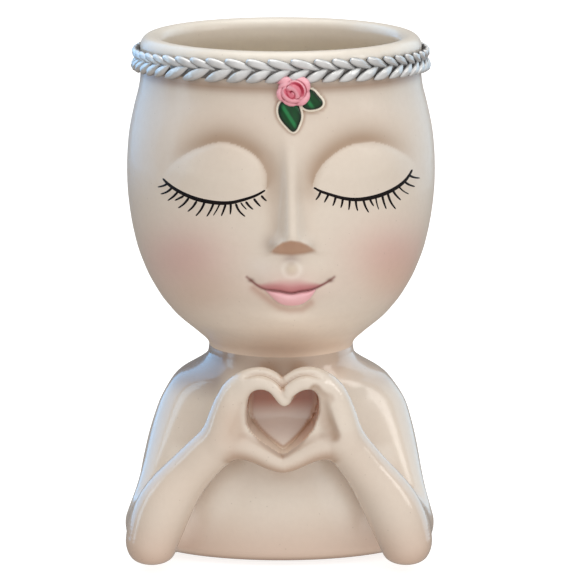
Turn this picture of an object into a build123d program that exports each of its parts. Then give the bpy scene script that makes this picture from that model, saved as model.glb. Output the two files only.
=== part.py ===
from build123d import *
import math
import os

# Head planter in glazed ceramic: an egg-shaped pot with a calm, eyes-closed face,
# standing on a small bust whose hands make a heart in front of the chest.
# Millimetres. +Z is up and the face looks along -Y.
# The figure is laid out about the pot's vertical axis with z = 0 at the foot ring,
# and everything is moved at the end so that the pads stand on z = 0.

# ---------------------------------------------------------------- dimensions
PAD_H = 2.0            # height of the rubber pads under the foot ring
AXIS_Y = 1.6           # the pot's axis lies this far behind the origin

RIM_Z = 205.3          # top of the rolled lip
LIP_R = 4.3            # radius of the lip's rounding
MOUTH_R = 47.0         # clear radius of the mouth
LIP_C = MOUTH_R + LIP_R
POT_R = LIP_C + LIP_R  # outside of the straight collar under the lip
WALL = 6.0             # wall of the pot
FLOOR_Z = 91.0         # inside floor of the pot
DRAIN_R = 5.0          # drain hole in the pot's floor
NECK_Z = 80.6          # joint between pot and bust
NECK_R = 28.8
SPIGOT_R = 19.9        # pot's spigot in the bust's neck
SOCKET_R = 20.0
SPIGOT_L = 6.0

FACE_X = 4.2           # the face is turned slightly to one side: its centre line on the pot

BRAID_Z = (195.0, 200.2)   # centre heights of the two rows of the braid
BRAID_R = 2.9
BRAID_OUT = 59.3

FOOT_A, FOOT_B, FOOT_CY = 46.0, 28.0, 2.5   # opening in the bust's underside
PLATE_Z0, PLATE_Z1 = 1.0, 7.0
OUTLET_R = 7.0
RECESS_R = 14.0
RECESS_Z = 4.0
PLUG_R = 6.95
FLANGE_R = 12.0

ROSE = (4.2, -57.6, 190.0)
ROSE_OUT = 6.6         # outer radius of the rose

# outside of the pot, radius at height
OUTER = [(29.2, 82.0), (30.6, 84.0), (35.1, 88.0), (39.9, 92.0), (45.1, 97.5),
         (50.3, 105.0), (55.1, 115.0), (58.2, 125.0), (60.05, 135.0), (61.05, 145.0),
         (61.15, 155.0), (60.45, 165.0), (58.65, 175.0), (56.2, 185.0), (POT_R, 190.0)]
INNER = [(MOUTH_R, 193.0), (50.1, 185.0), (52.7, 175.0), (54.45, 165.0), (55.15, 155.0),
         (55.0, 145.0), (53.95, 135.0), (51.9, 125.0), (48.4, 115.0), (42.6, 105.0),
         (35.0, 97.0), (24.0, 92.2)]


def revolved(pts_wire):
    return revolve(Plane.XZ * make_face(pts_wire), Axis.Z)


def wire_of(*edges):
    return Wire(list(edges))


def ball(x, y, z, rx, ry, rz):
    """Ellipsoid with its centre at x, y, z."""
    return Pos(x, y, z) * scale(Sphere(1), by=(rx, ry, rz))


def tube(points, radius, bend):
    """Round rod along straight runs joined by tangent arcs, with round ends."""
    path = FilletPolyline(*points, radius=bend)
    start = Plane(origin=path @ 0, z_dir=path % 0)
    rod = sweep(start * Circle(radius), path=path)
    return rod + Pos(*points[0]) * Sphere(radius) + Pos(*points[-1]) * Sphere(radius)


def taper(p, q, rp, rq):
    """Tapering limb from p to q with round ends."""
    vp, vq = Vector(*p), Vector(*q)
    d = vq - vp
    pl = Plane(origin=vp, z_dir=d)
    cone = pl * Pos(0, 0, d.length / 2) * Cone(rp, rq, d.length)
    return cone + Pos(*p) * Sphere(rp) + Pos(*q) * Sphere(rq)


def ellipse_loft(rows):
    """Solid through ellipses given as z, half width, half depth, centre y."""
    faces = [Plane(origin=(0, cy, z), z_dir=(0, 0, 1)) * Ellipse(a, b) for z, a, b, cy in rows]
    return loft(faces)


# ---------------------------------------------------------------- head pot
outer_edges = [
    Line((0, NECK_Z), (NECK_R, NECK_Z)),
    Spline((NECK_R, NECK_Z), *OUTER),
    Line((POT_R, 190.0), (POT_R, RIM_Z - LIP_R)),
    ThreePointArc((POT_R, RIM_Z - LIP_R), (LIP_C, RIM_Z), (MOUTH_R, RIM_Z - LIP_R)),
    Line((MOUTH_R, RIM_Z - LIP_R), (0, RIM_Z - LIP_R)),
    Line((0, RIM_Z - LIP_R), (0, NECK_Z)),
]
head_blank = revolved(wire_of(*outer_edges))

# relief of the face: nose, two closed lids, lips
nose = ball(FACE_X, -56.0, 141.0, 4.6, 8.4, 22.0) + ball(FACE_X, -57.6, 127.5, 7.6, 7.2, 5.4)
lid_l = Rot(0, 0, -24.5) * ball(0, -48.6, 158.5, 19.5, 13.6, 12.0)
lid_r = Rot(0, 0, 32.5) * ball(0, -48.6, 158.5, 19.5, 13.6, 12.0)
lips = (ball(FACE_X, -50.6, 114.6, 11.5, 5.6, 2.8) + ball(FACE_X, -48.8, 109.9, 8.6, 6.0, 3.6))
head_outer = head_blank + nose + lid_l + lid_r + lips

cavity_edges = [
    Line((0, FLOOR_Z), (20.0, FLOOR_Z)),
    Spline((20.0, FLOOR_Z), *reversed(INNER)),
    Line((MOUTH_R, 193.0), (MOUTH_R, RIM_Z + 5)),
    Line((MOUTH_R, RIM_Z + 5), (0, RIM_Z + 5)),
    Line((0, RIM_Z + 5), (0, FLOOR_Z)),
]
cavity = revolved(wire_of(*cavity_edges))
spigot = Pos(0, 0, NECK_Z - SPIGOT_L / 2) * Cylinder(SPIGOT_R, SPIGOT_L)
drain = Pos(0, 0, FLOOR_Z - 10) * Cylinder(DRAIN_R, 40)
head_pot = head_outer - cavity + spigot - drain

# ---------------------------------------------------------------- bust
bust_core = ellipse_loft([
    (0.0, 55.5, 38.2, 0.9), (8.0, 58.5, 41.2, 0.8), (25.0, 57.0, 41.8, -0.3),
    (45.0, 52.3, 37.3, 0.6), (58.0, 48.0, 32.8, 0.8), (66.0, 43.6, 30.4, 0.4),
    (72.0, 37.2, 29.3, 0.1), (76.5, 31.6, 28.9, 0.0), (NECK_Z, NECK_R, NECK_R, 0.0)])
ELBOW = (49.4, -30.0, 11.5)      # lower end of the upper arm, behind the end of the forearm
SHOULDER = (37.0, -5.0, 52.5)
arms = None
for s in (-1, 1):
    arm = taper((s * SHOULDER[0], SHOULDER[1], SHOULDER[2]), (s * ELBOW[0], ELBOW[1], ELBOW[2]), 11.6, 10.2)
    arms = arm if arms is None else arms + arm
bust_outer = bust_core + arms
bust_outer = bust_outer & (Pos(0, 0, 50) * Box(200, 200, 100))

bust_hollow = ellipse_loft([
    (7.0, 50.0, 32.6, 1.6), (25.0, 49.5, 34.0, 0.8), (45.0, 45.0, 30.2, 1.0),
    (60.0, 39.0, 25.6, 0.8), (73.0, 26.5, 22.4, 0.2)])
neck_bore = Pos(0, 0, 77) * Cylinder(SOCKET_R, 12)
foot_hole = Pos(0, FOOT_CY, 3.5) * extrude(Ellipse(FOOT_A, FOOT_B), 4.0, both=True)
torso_shell = bust_outer - bust_hollow - neck_bore - foot_hole

# ---------------------------------------------------------------- forearms and hands
MID_X = 0.9            # the fingertips meet on this plane
head_clear = head_blank


def hand_plate(s):
    """Back of one hand, the wall that runs from the fingers to the chest."""
    pts = [(MID_X, 42.0), (9.0, 44.5), (17.0, 46.0), (23.0, 47.5), (27.5, 57.0), (26.0, 64.0),
           (22.5, 72.0), (17.0, 78.0), (9.5, 80.8), (4.0, 79.0), (MID_X, 76.0),
           (MID_X, 68.5), (2.2, 69.5), (5.0, 73.0), (9.0, 74.2), (12.0, 71.5),
           (12.6, 66.0), (11.6, 60.0), (8.6, 55.0), (4.6, 51.4), (MID_X, 49.2)]
    if s < 0:
        pts = [(2 * MID_X - x, z) for x, z in pts]
    face = make_face(Plane.XZ * Polyline(*pts, close=True))
    return Pos(0, -20, 0) * extrude(face, 32.0, dir=(0, -1, 0))


def forearm_hand(s):
    fore = taper((s * 50.2 - 0.8, -44.0, 9.6), (s * 24.0, -46.5, 52.0), 10.5, 8.6)
    palm = ball(s * 20.0 + MID_X, -48.2, 60.0, 8.0, 6.6, 14.0)
    x = lambda v: MID_X + s * v
    finger_f = tube([(x(21), -50.5, 66), (x(16.5), -50.8, 75.0), (x(8.0), -51.5, 77.6), (x(1.2), -53.2, 69.5)], 4.2, 4.5)
    finger_b = tube([(x(20), -44.5, 69), (x(15.5), -44.5, 78.0), (x(7.0), -45.0, 80.2), (x(1.2), -46.0, 74.5)], 3.8, 4.0)
    thumb = tube([(x(19), -49.5, 52), (x(10), -51.8, 50.6), (x(0.8), -53.0, 44.6)], 4.0, 8.0)
    limb = fore + palm + finger_f + finger_b + thumb + hand_plate(s)
    half = Pos(MID_X + s * 100, 0, 60) * Box(200, 300, 160)
    limb = (limb & half) - bust_outer - head_clear - (Pos(0, 0, -50) * Box(300, 300, 100))
    solids = sorted(limb.solids(), key=lambda o: o.volume)
    return solids[-1]


forearm_hand_right = forearm_hand(1)
forearm_hand_left = forearm_hand(-1)

# ---------------------------------------------------------------- braid band
band = None
for zc in BRAID_Z:
    row = Pos(0, 0, zc) * Torus(BRAID_OUT - BRAID_R, BRAID_R)
    band = row if band is None else band + row
backing = Pos(0, 0, sum(BRAID_Z) / 2) * (Cylinder(BRAID_OUT - 1.6, 7.0) - Cylinder(POT_R - 2, 9.0))
braid_band = (band + backing) - (Pos(0, 0, 190) * Cylinder(POT_R, 40))

# ---------------------------------------------------------------- rose and leaves
def shifted_pot(t):
    """The pot's outside, grown by t."""
    pts = [(r + t * math.sin(math.radians(88)), z) for r, z in OUTER]
    edges = [
        Line((0, 82.0), pts[0]),
        Spline(*pts),
        Line(pts[-1], (pts[-1][0], 200.0)),
        Line((pts[-1][0], 200.0), (0, 200.0)),
        Line((0, 200.0), (0, 82.0)),
    ]
    return revolved(wire_of(*edges))


rose_raw = None
for k in range(5):
    a = math.radians(90 + 72 * k)
    p = ball(ROSE[0] + 3.3 * math.cos(a), ROSE[1] - 0.4, ROSE[2] + 2.9 * math.sin(a), 3.3, 3.4, 3.1)
    rose_raw = p if rose_raw is None else rose_raw + p
rose_raw = rose_raw + (Pos(ROSE[0], ROSE[1] + 1.0, ROSE[2]) * Rot(90, 0, 0) * Cylinder(5.0, 4.0))
bud_well = Pos(ROSE[0], ROSE[1] - 3.4, ROSE[2]) * Rot(90, 0, 0) * Cylinder(2.4, 4.4)
pot_skin = shifted_pot(0.05)   # the tiles and the rose stand on a film of slip
rose_petals = rose_raw - bud_well - pot_skin - braid_band
rose_petals = sorted(rose_petals.solids(), key=lambda o: o.volume)[-1]
rose_bud = (Pos(ROSE[0], ROSE[1] - 2.7, ROSE[2]) * Rot(90, 0, 0) * Cylinder(2.3, 2.9)
            + ball(ROSE[0], ROSE[1] - 4.1, ROSE[2], 2.3, 1.0, 2.3))


LEAF_T = 2.2
pot_plus = shifted_pot(LEAF_T)


def leaf(points):
    """Leaf tile laid on the pot, LEAF_T thick, outline given as x, z."""
    outline = Spline(*points, periodic=True)
    face = make_face(Plane.XZ * outline)
    prism = Pos(0, -40, 0) * extrude(face, 30.0, dir=(0, -1, 0))
    body = (prism & pot_plus) - pot_skin - rose_raw - braid_band
    return sorted(body.solids(), key=lambda o: o.volume)[-1]


leaf_lower = leaf([(2.2, 187.4), (-1.2, 184.4), (-1.6, 181.0), (1.4, 177.4), (4.9, 174.8),
                   (7.6, 177.8), (8.6, 182.0), (6.4, 186.2)])
leaf_side = leaf([(10.2, 191.4), (13.6, 189.8), (16.6, 187.0), (16.4, 183.8), (12.2, 183.0),
                  (8.4, 183.6), (7.6, 187.0)])

# ---------------------------------------------------------------- underside
plate = Pos(0, FOOT_CY, PLATE_Z0) * extrude(Ellipse(FOOT_A - 0.1, FOOT_B - 0.1), PLATE_Z1 - PLATE_Z0)
recess = Pos(0, 0, (RECESS_Z - 4) / 2) * Cylinder(RECESS_R, RECESS_Z + 4)
outlet = Pos(0, 0, 5) * Cylinder(OUTLET_R, 20)
base_plate = plate - recess - outlet

flange = Pos(0, 0, 2.7) * Cylinder(FLANGE_R, 2.2)
stem = Pos(0, 0, 5.3) * Cylinder(PLUG_R, 3.4)
tip = Pos(0, 0, 7.75) * Cone(PLUG_R, PLUG_R - 0.9, 1.5)
grip = Pos(0, 0, 0.7) * Box(12.0, 2.4, 2.4)
drain_plug = flange + stem + tip + grip

PADS = {"foot_pad_front_left": (-44.7, -13.0), "foot_pad_front_right": (44.7, -13.0),
        "foot_pad_rear_left": (-38.7, 23.0), "foot_pad_rear_right": (38.7, 23.0)}
pads = {n: Pos(x, y, -PAD_H / 2) * Cylinder(4.0, PAD_H) for n, (x, y) in PADS.items()}

# ---------------------------------------------------------------- write the pieces
nodes = {
    "head_pot": head_pot,
    "torso_shell": torso_shell,
    "forearm_hand_left": forearm_hand_left,
    "forearm_hand_right": forearm_hand_right,
    "braid_band": braid_band,
    "rose_petals": rose_petals,
    "rose_bud": rose_bud,
    "leaf_lower": leaf_lower,
    "leaf_side": leaf_side,
    "base_plate": base_plate,
    "drain_plug": drain_plug,
}
nodes.update(pads)

os.makedirs("parts", exist_ok=True)
for name, shape in nodes.items():
    export_step(Pos(0, AXIS_Y, PAD_H) * shape, f"parts/{name}.step")
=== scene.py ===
import math

import bpy
import numpy as np
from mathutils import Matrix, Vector
from mathutils.bvhtree import BVHTree


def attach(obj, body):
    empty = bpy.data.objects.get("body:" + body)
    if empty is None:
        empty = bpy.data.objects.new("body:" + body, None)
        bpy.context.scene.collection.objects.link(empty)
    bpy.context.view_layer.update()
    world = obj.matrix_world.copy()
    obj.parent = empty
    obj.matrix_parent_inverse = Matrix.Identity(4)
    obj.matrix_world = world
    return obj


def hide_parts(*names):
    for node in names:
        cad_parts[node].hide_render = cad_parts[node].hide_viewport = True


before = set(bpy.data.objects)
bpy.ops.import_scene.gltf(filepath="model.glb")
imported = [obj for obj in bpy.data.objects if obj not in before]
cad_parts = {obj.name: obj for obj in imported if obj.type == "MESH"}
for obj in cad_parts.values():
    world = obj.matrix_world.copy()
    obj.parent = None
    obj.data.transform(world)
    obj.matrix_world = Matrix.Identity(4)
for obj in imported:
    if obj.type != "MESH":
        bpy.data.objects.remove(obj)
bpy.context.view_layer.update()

scene = bpy.context.scene

# ---------------------------------------------------------------------------
# Places. Everything is worked out in millimetres from the pot's own axis, with
# z = 0 at the foot ring of the bust, and put into the frame by AXIS_Y and PAD_H.
# ---------------------------------------------------------------------------
AXIS_Y = 1.6
PAD_H = 2.0

# The camera: 1.6 m in front, 418 mm up, looking slightly down.
CAM_D = 1600.0
CAM_Z = 418.0
AIM_Z = 102.9
PITCH = math.atan((CAM_Z - AIM_Z) / CAM_D)
CP, SP = math.cos(PITCH), math.sin(PITCH)
FOCAL = CAM_D / CP / 0.4
IMG_X = 281.0


def proj(p):
    """Where points in mm fall in the 576 x 576 picture."""
    x, y, z = p[..., 0], p[..., 1], p[..., 2]
    d = (y + CAM_D) * CP + (CAM_Z - z) * SP
    v = (y + CAM_D) * SP + (z - CAM_Z) * CP
    return IMG_X + FOCAL * x / d, 288 - FOCAL * v / d


def ray(X, Y):
    """Direction in mm of the line of sight through a picture point."""
    u = (X - IMG_X) / FOCAL
    v = (288 - Y) / FOCAL
    return Vector((u, v * SP + CP, v * CP - SP)).normalized()


def at_y(X, Y, y):
    """The point at depth y that falls on a picture point."""
    u = (X - IMG_X) / FOCAL
    v = (288 - Y) / FOCAL
    t = (y + CAM_D) / (v * SP + CP)
    return np.array([u * t, y, CAM_Z + (v * CP - SP) * t])


# ---------------------------------------------------------------------------
# Small tools
# ---------------------------------------------------------------------------
def smooth(t):
    t = np.clip(t, 0.0, 1.0)
    return t * t * (3 - 2 * t)


def bump(t):
    return np.exp(-t * t)


def spline(points, n):
    """A natural cubic through the points, sampled at n places."""
    P = np.asarray(points, float)
    t = np.concatenate([[0], np.cumsum(np.linalg.norm(np.diff(P, axis=0), axis=1))])
    m = len(P)
    h = np.diff(t)
    A = np.zeros((m, m))
    B = np.zeros((m, P.shape[1]))
    A[0, 0] = A[-1, -1] = 1
    for i in range(1, m - 1):
        A[i, i - 1] = h[i - 1]
        A[i, i] = 2 * (h[i - 1] + h[i])
        A[i, i + 1] = h[i]
        B[i] = 6 * ((P[i + 1] - P[i]) / h[i] - (P[i] - P[i - 1]) / h[i - 1])
    M = np.linalg.solve(A, B)
    s = np.linspace(0, t[-1], n)
    k = np.clip(np.searchsorted(t, s, "right") - 1, 0, m - 2)
    a, b, hk = (t[k + 1] - s)[:, None], (s - t[k])[:, None], h[k][:, None]
    return (
        M[k] * a**3 / (6 * hk)
        + M[k + 1] * b**3 / (6 * hk)
        + (P[k] / hk - M[k] * hk / 6) * a
        + (P[k + 1] / hk - M[k + 1] * hk / 6) * b
    )


def line_dist(X, Y, line):
    """Distance to a polyline, and the share of its length at the nearest place."""
    best = np.full(X.shape, 1e9)
    where = np.zeros(X.shape)
    n = len(line) - 1
    for i in range(n):
        ax, ay = line[i]
        dx, dy = line[i + 1] - line[i]
        t = np.clip(((X - ax) * dx + (Y - ay) * dy) / (dx * dx + dy * dy + 1e-12), 0, 1)
        d = np.hypot(X - ax - t * dx, Y - ay - t * dy)
        near = d < best
        best = np.where(near, d, best)
        where = np.where(near, (i + t) / n, where)
    return best, where


def inside(X, Y, loop):
    """True inside a closed outline."""
    r = np.zeros(X.shape, bool)
    j = len(loop) - 1
    for i in range(len(loop)):
        xi, yi = loop[i]
        xj, yj = loop[j]
        if yi != yj:
            r ^= ((yi > Y) != (yj > Y)) & (X < (xj - xi) * (Y - yi) / (yj - yi) + xi)
        j = i
    return r


def polygon(U, V, loop):
    """Signed distance to a closed outline, negative inside."""
    d, _ = line_dist(U, V, np.concatenate([loop, loop[:1]]))
    return np.where(inside(U, V, loop), -d, d)


def lin(r, g, b):
    """A colour named by 0-255 screen values, as light."""
    c = np.array([r, g, b], float) / 255
    return np.where(c <= 0.04045, c / 12.92, ((c + 0.055) / 1.055) ** 2.4)


def make(name, verts, faces, material, body="root", stands_for=(), normals=None, attrs=None, flat=None):
    """A mesh object from points in mm."""
    me = bpy.data.meshes.new(name)
    co = (np.asarray(verts, float) + np.array([0.0, AXIS_Y, PAD_H])) / 1000
    me.from_pydata(co.tolist(), [], [tuple(int(i) for i in f) for f in faces])
    me.update()
    me.polygons.foreach_set("use_smooth", [True] * len(me.polygons) if flat is None else (~np.asarray(flat)).tolist())
    for key, values in (attrs or {}).items():
        values = np.asarray(values, float)
        if values.ndim == 2:
            a = me.attributes.new(key, "FLOAT_COLOR", "POINT")
            a.data.foreach_set("color", np.column_stack([values, np.ones(len(values))]).ravel())
        else:
            a = me.attributes.new(key, "FLOAT", "POINT")
            a.data.foreach_set("value", values)
    if normals is not None:
        me.normals_split_custom_set_from_vertices(np.asarray(normals, float).tolist())
    o = bpy.data.objects.new(name, me)
    bpy.context.scene.collection.objects.link(o)
    me.materials.append(material)
    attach(o, body)
    if stands_for:
        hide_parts(*stands_for)
    return o


def grid_faces(rows, cols, closed_u=False, closed_v=False, start=0):
    """Quads of a rows x cols grid of points; u runs along the columns."""
    r = np.arange(rows if closed_v else rows - 1)
    c = np.arange(cols if closed_u else cols - 1)
    R, C = np.meshgrid(r, c, indexing="ij")
    R2, C2 = (R + 1) % rows, (C + 1) % cols
    f = np.stack([R * cols + C, R * cols + C2, R2 * cols + C2, R2 * cols + C], -1)
    return f.reshape(-1, 4) + start


# ---------------------------------------------------------------------------
# Materials
# ---------------------------------------------------------------------------
def new_material(name):
    m = bpy.data.materials.new(name)
    m.use_nodes = True
    nt = m.node_tree
    nt.nodes.clear()
    out = nt.nodes.new("ShaderNodeOutputMaterial")
    sh = nt.nodes.new("ShaderNodeBsdfPrincipled")
    nt.links.new(sh.outputs["BSDF"], out.inputs["Surface"])
    return m, nt, sh


def node(nt, kind, **inputs):
    n = nt.nodes.new(kind)
    for k, v in inputs.items():
        if k.startswith("_"):
            setattr(n, k[1:], v)
        else:
            n.inputs[k.replace("_", " ")].default_value = v
    return n


def noise(nt, scale, detail=3.0, rough=0.5):
    tc = nt.nodes.new("ShaderNodeTexCoord")
    n = nt.nodes.new("ShaderNodeTexNoise")
    n.inputs["Scale"].default_value = scale
    n.inputs["Detail"].default_value = detail
    n.inputs["Roughness"].default_value = rough
    nt.links.new(tc.outputs["Object"], n.inputs["Vector"])
    return n.outputs["Fac"]


def remap(nt, fac, a, b, c, d):
    n = nt.nodes.new("ShaderNodeMapRange")
    for i, v in zip(("From Min", "From Max", "To Min", "To Max"), (a, b, c, d)):
        n.inputs[i].default_value = v
    nt.links.new(fac, n.inputs["Value"])
    return n.outputs["Result"]


def mix(nt, fac, a, b, blend="MIX"):
    n = nt.nodes.new("ShaderNodeMix")
    n.data_type = "RGBA"
    n.blend_type = blend
    for key, v in ((0, fac), (6, a), (7, b)):
        if isinstance(v, bpy.types.NodeSocket):
            nt.links.new(v, n.inputs[key])
        elif key == 0:
            n.inputs[key].default_value = v
        else:
            n.inputs[key].default_value = (*v, 1.0)
    return n.outputs[2]


def add_bump(nt, sh, fac, strength, dist):
    b = nt.nodes.new("ShaderNodeBump")
    b.inputs["Strength"].default_value = strength
    b.inputs["Distance"].default_value = dist
    nt.links.new(fac, b.inputs["Height"])
    nt.links.new(b.outputs["Normal"], sh.inputs["Normal"])


def glaze(name, attr="tint", rough=0.24, coat=0.35, spots=0.6, satin=None):
    """Glossy glaze over cream slip: the colour comes from the mesh, broken up by the glaze's own clouding, pinholes and iron specks."""
    m, nt, sh = new_material(name)
    a = node(nt, "ShaderNodeAttribute", _attribute_name=attr)
    cloud = noise(nt, 38.0, 4.0, 0.55)
    fine = noise(nt, 420.0, 2.0, 0.5)
    c = mix(nt, remap(nt, cloud, 0.3, 0.7, 0.0, 0.10), a.outputs["Color"], tuple(lin(214, 186, 158)), "MIX")
    c = mix(nt, remap(nt, fine, 0.35, 0.7, 0.0, 0.045), c, tuple(lin(170, 150, 132)), "MIX")
    tc = nt.nodes.new("ShaderNodeTexCoord")
    v = nt.nodes.new("ShaderNodeTexVoronoi")
    v.inputs["Scale"].default_value = 210.0
    nt.links.new(tc.outputs["Object"], v.inputs["Vector"])
    speck = remap(nt, v.outputs["Distance"], 0.03, 0.075, spots * 0.35, 0.0)
    c = mix(nt, speck, c, tuple(lin(122, 96, 74)), "MIX")
    nt.links.new(c, sh.inputs["Base Color"])
    gloss = remap(nt, fine, 0.25, 0.75, rough - 0.03, rough + 0.04)
    if satin is not None:
        # part of the surface is rubbed to a satin: the mesh says how much
        b = node(nt, "ShaderNodeAttribute", _attribute_name="satin")
        add = nt.nodes.new("ShaderNodeMath")
        add.operation = "MULTIPLY_ADD"
        add.inputs[1].default_value = satin - rough
        nt.links.new(b.outputs["Fac"], add.inputs[0])
        nt.links.new(gloss, add.inputs[2])
        gloss = add.outputs[0]
    nt.links.new(gloss, sh.inputs["Roughness"])
    sh.inputs["IOR"].default_value = 1.5
    sh.inputs["Coat Weight"].default_value = coat
    sh.inputs["Coat Roughness"].default_value = 0.10
    sh.inputs["Coat IOR"].default_value = 1.5
    sh.inputs["Subsurface Weight"].default_value = 0.0
    skin = noise(nt, 900.0, 2.0, 0.5)
    add_bump(nt, sh, skin, 0.10, 0.00008)
    return m


mat_glaze = glaze("cream_glaze_mat", rough=0.22, coat=0.45)
mat_satin = glaze("cream_satin_glaze_mat", rough=0.32, coat=0.10, satin=0.44)

# ---------------------------------------------------------------------------
# The head: the pot's turned profile with the face raised out of its wall
# ---------------------------------------------------------------------------
OUT_Z = np.array([79.0, 80.6, 82, 84, 86, 88, 90, 92, 95, 97.5, 100, 105, 110, 115, 120, 125, 130, 135, 140, 145, 150, 155, 160, 165, 170, 175, 180, 185, 190, 195, 201.0])
OUT_R = np.array([28.62, 28.75, 29.15, 30.6, 32.8, 35.1, 37.5, 39.9, 43.0, 45.1, 47.1, 50.3, 53.0, 55.1, 56.9, 58.2, 59.25, 60.05, 60.65, 61.05, 61.2, 61.15, 60.9, 60.45, 59.7, 58.65, 57.45, 56.2, 55.6, 55.55, 55.6])

# Eyes. The upper curve is the crisp top edge of the lid, the lower one the lash line.
LID_L = spline([(161.5, 177.5), (167, 169.5), (179, 158.5), (190, 151.5), (205, 145.5), (221, 142), (237, 145), (249.5, 151), (258, 158), (264, 166.5), (267.5, 177), (266.5, 188)], 40)
LASH_L = spline([(162.5, 178.5), (170, 186), (183, 193.8), (195.5, 198.8), (208, 201.8), (222, 203.3), (233, 202.5), (241, 200.4), (249.5, 198), (258, 194.6), (266, 189.5)], 40)
LID_R = spline([(313, 187), (314, 181), (317, 173), (324, 163), (334, 154), (349, 145.5), (366, 142), (384, 144), (402, 152), (412, 160), (417.5, 168)], 40)
LASH_R = spline([(313.5, 187.5), (320, 190.8), (330, 194.5), (340, 197.6), (350, 199.4), (360, 199.6), (370, 198), (380, 195.4), (390, 191.2), (400, 185.2), (408, 177), (414.5, 167.5)], 40)
LEAF_DOWN = [(285, 100), (280.5, 103), (278.6, 107.5), (278.4, 112), (279.8, 117), (282.6, 121.5), (286.8, 126), (290.5, 129.6), (293.8, 131.2), (296.6, 129.6), (299, 125.5), (301, 120.5), (301.8, 115.5), (301, 110.5), (299, 105.5), (293, 101)]
LEAF_SIDE = [(306, 90.5), (309, 89.4), (313, 90.2), (316.6, 93.4), (320.2, 97.6), (322.8, 101), (323.4, 104.4), (321.4, 107.2), (317.4, 109.0), (312.2, 109.8), (307.5, 109.4), (303.4, 107), (303.2, 100), (304, 94)]
MOUTH = spline([(247, 277), (249.5, 279), (255, 283.5), (260, 287), (267, 289.7), (280, 291.3), (292, 293.2), (300, 291.7), (310, 290.2), (320, 286.2), (327, 282.3), (332, 279), (334.5, 277)], 48)
LOWER = spline([(266, 291), (270, 295), (275, 300), (282, 304.5), (291, 306), (300, 305), (307, 301.5), (312, 296.5), (316, 290.5)], 30)


# painted light: the lighter, warmer tone laid on the neck where the chin shades it
NECK_PAINTED_LIGHT = (250, 220, 194)


def neck_painted_light(z):
    """How strongly painted light, a lighter warm tone, is laid on towards the neck joint where the chin shades it, at a
    height in mm.
    """
    return 0.60 * smooth((92.0 - z) / 10.0) * smooth((z - 66.0) / 10.0)


def NOSE_ARCH(X):
    """Crisp lower edge of the nose in the picture."""
    return np.interp(X, [262, 268, 272, 277, 283, 291, 300, 307, 313, 318, 324], [252.6, 252.2, 250.8, 246.4, 242.6, 240.6, 241.8, 244.8, 248.6, 251.2, 252])


def NOSE_FOOT(X):
    """Where the underside of the nose meets the face."""
    return np.interp(X, [262, 272, 280, 292, 305, 313, 324], [252.5, 252.6, 254, 255, 253.4, 251.5, 252])


def eye(X, Y, lid, lash, out):
    """Relief of one closed eye in mm, and how deep in the socket's shade a place is. out is -1 where the outer corner is to the left."""
    du, su = line_dist(X, Y, lid)
    dl, sl = line_dist(X, Y, lash)
    loop = np.concatenate([lid, lash[::-1]])
    ins = inside(X, Y, loop)
    end = su if out < 0 else 1 - su
    v = 0.58 * smooth(end / 0.42) + 0.02
    q = 1 - (1 - np.clip(du / 27.0, 0, 1)) ** 2
    top = 1.55 * q
    low = 0.40 + 0.60 * smooth(dl / 24.0)
    h_in = -v * (1 - smooth(du / 6.5)) + top * low
    valley = -v * bump(du / 13.0) + 0.60 * bump((du - 33) / 15.0) * smooth(end / 0.25)
    below = top * 0.40 * bump(dl / 7.5)
    w = smooth(du / (du + dl + 1e-6))
    h_out = valley * (1 - w) + below * w
    h = np.where(ins, h_in, h_out)
    shade = np.where(ins, 0.36 * (1 - smooth(du / 3.4)), (1 - w) * np.exp(-(np.abs(du - 3.0) / 14.0) ** 1.7)) * (0.10 + 0.90 * smooth(end / 0.48))
    return h, shade, ins, du, dl


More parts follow.
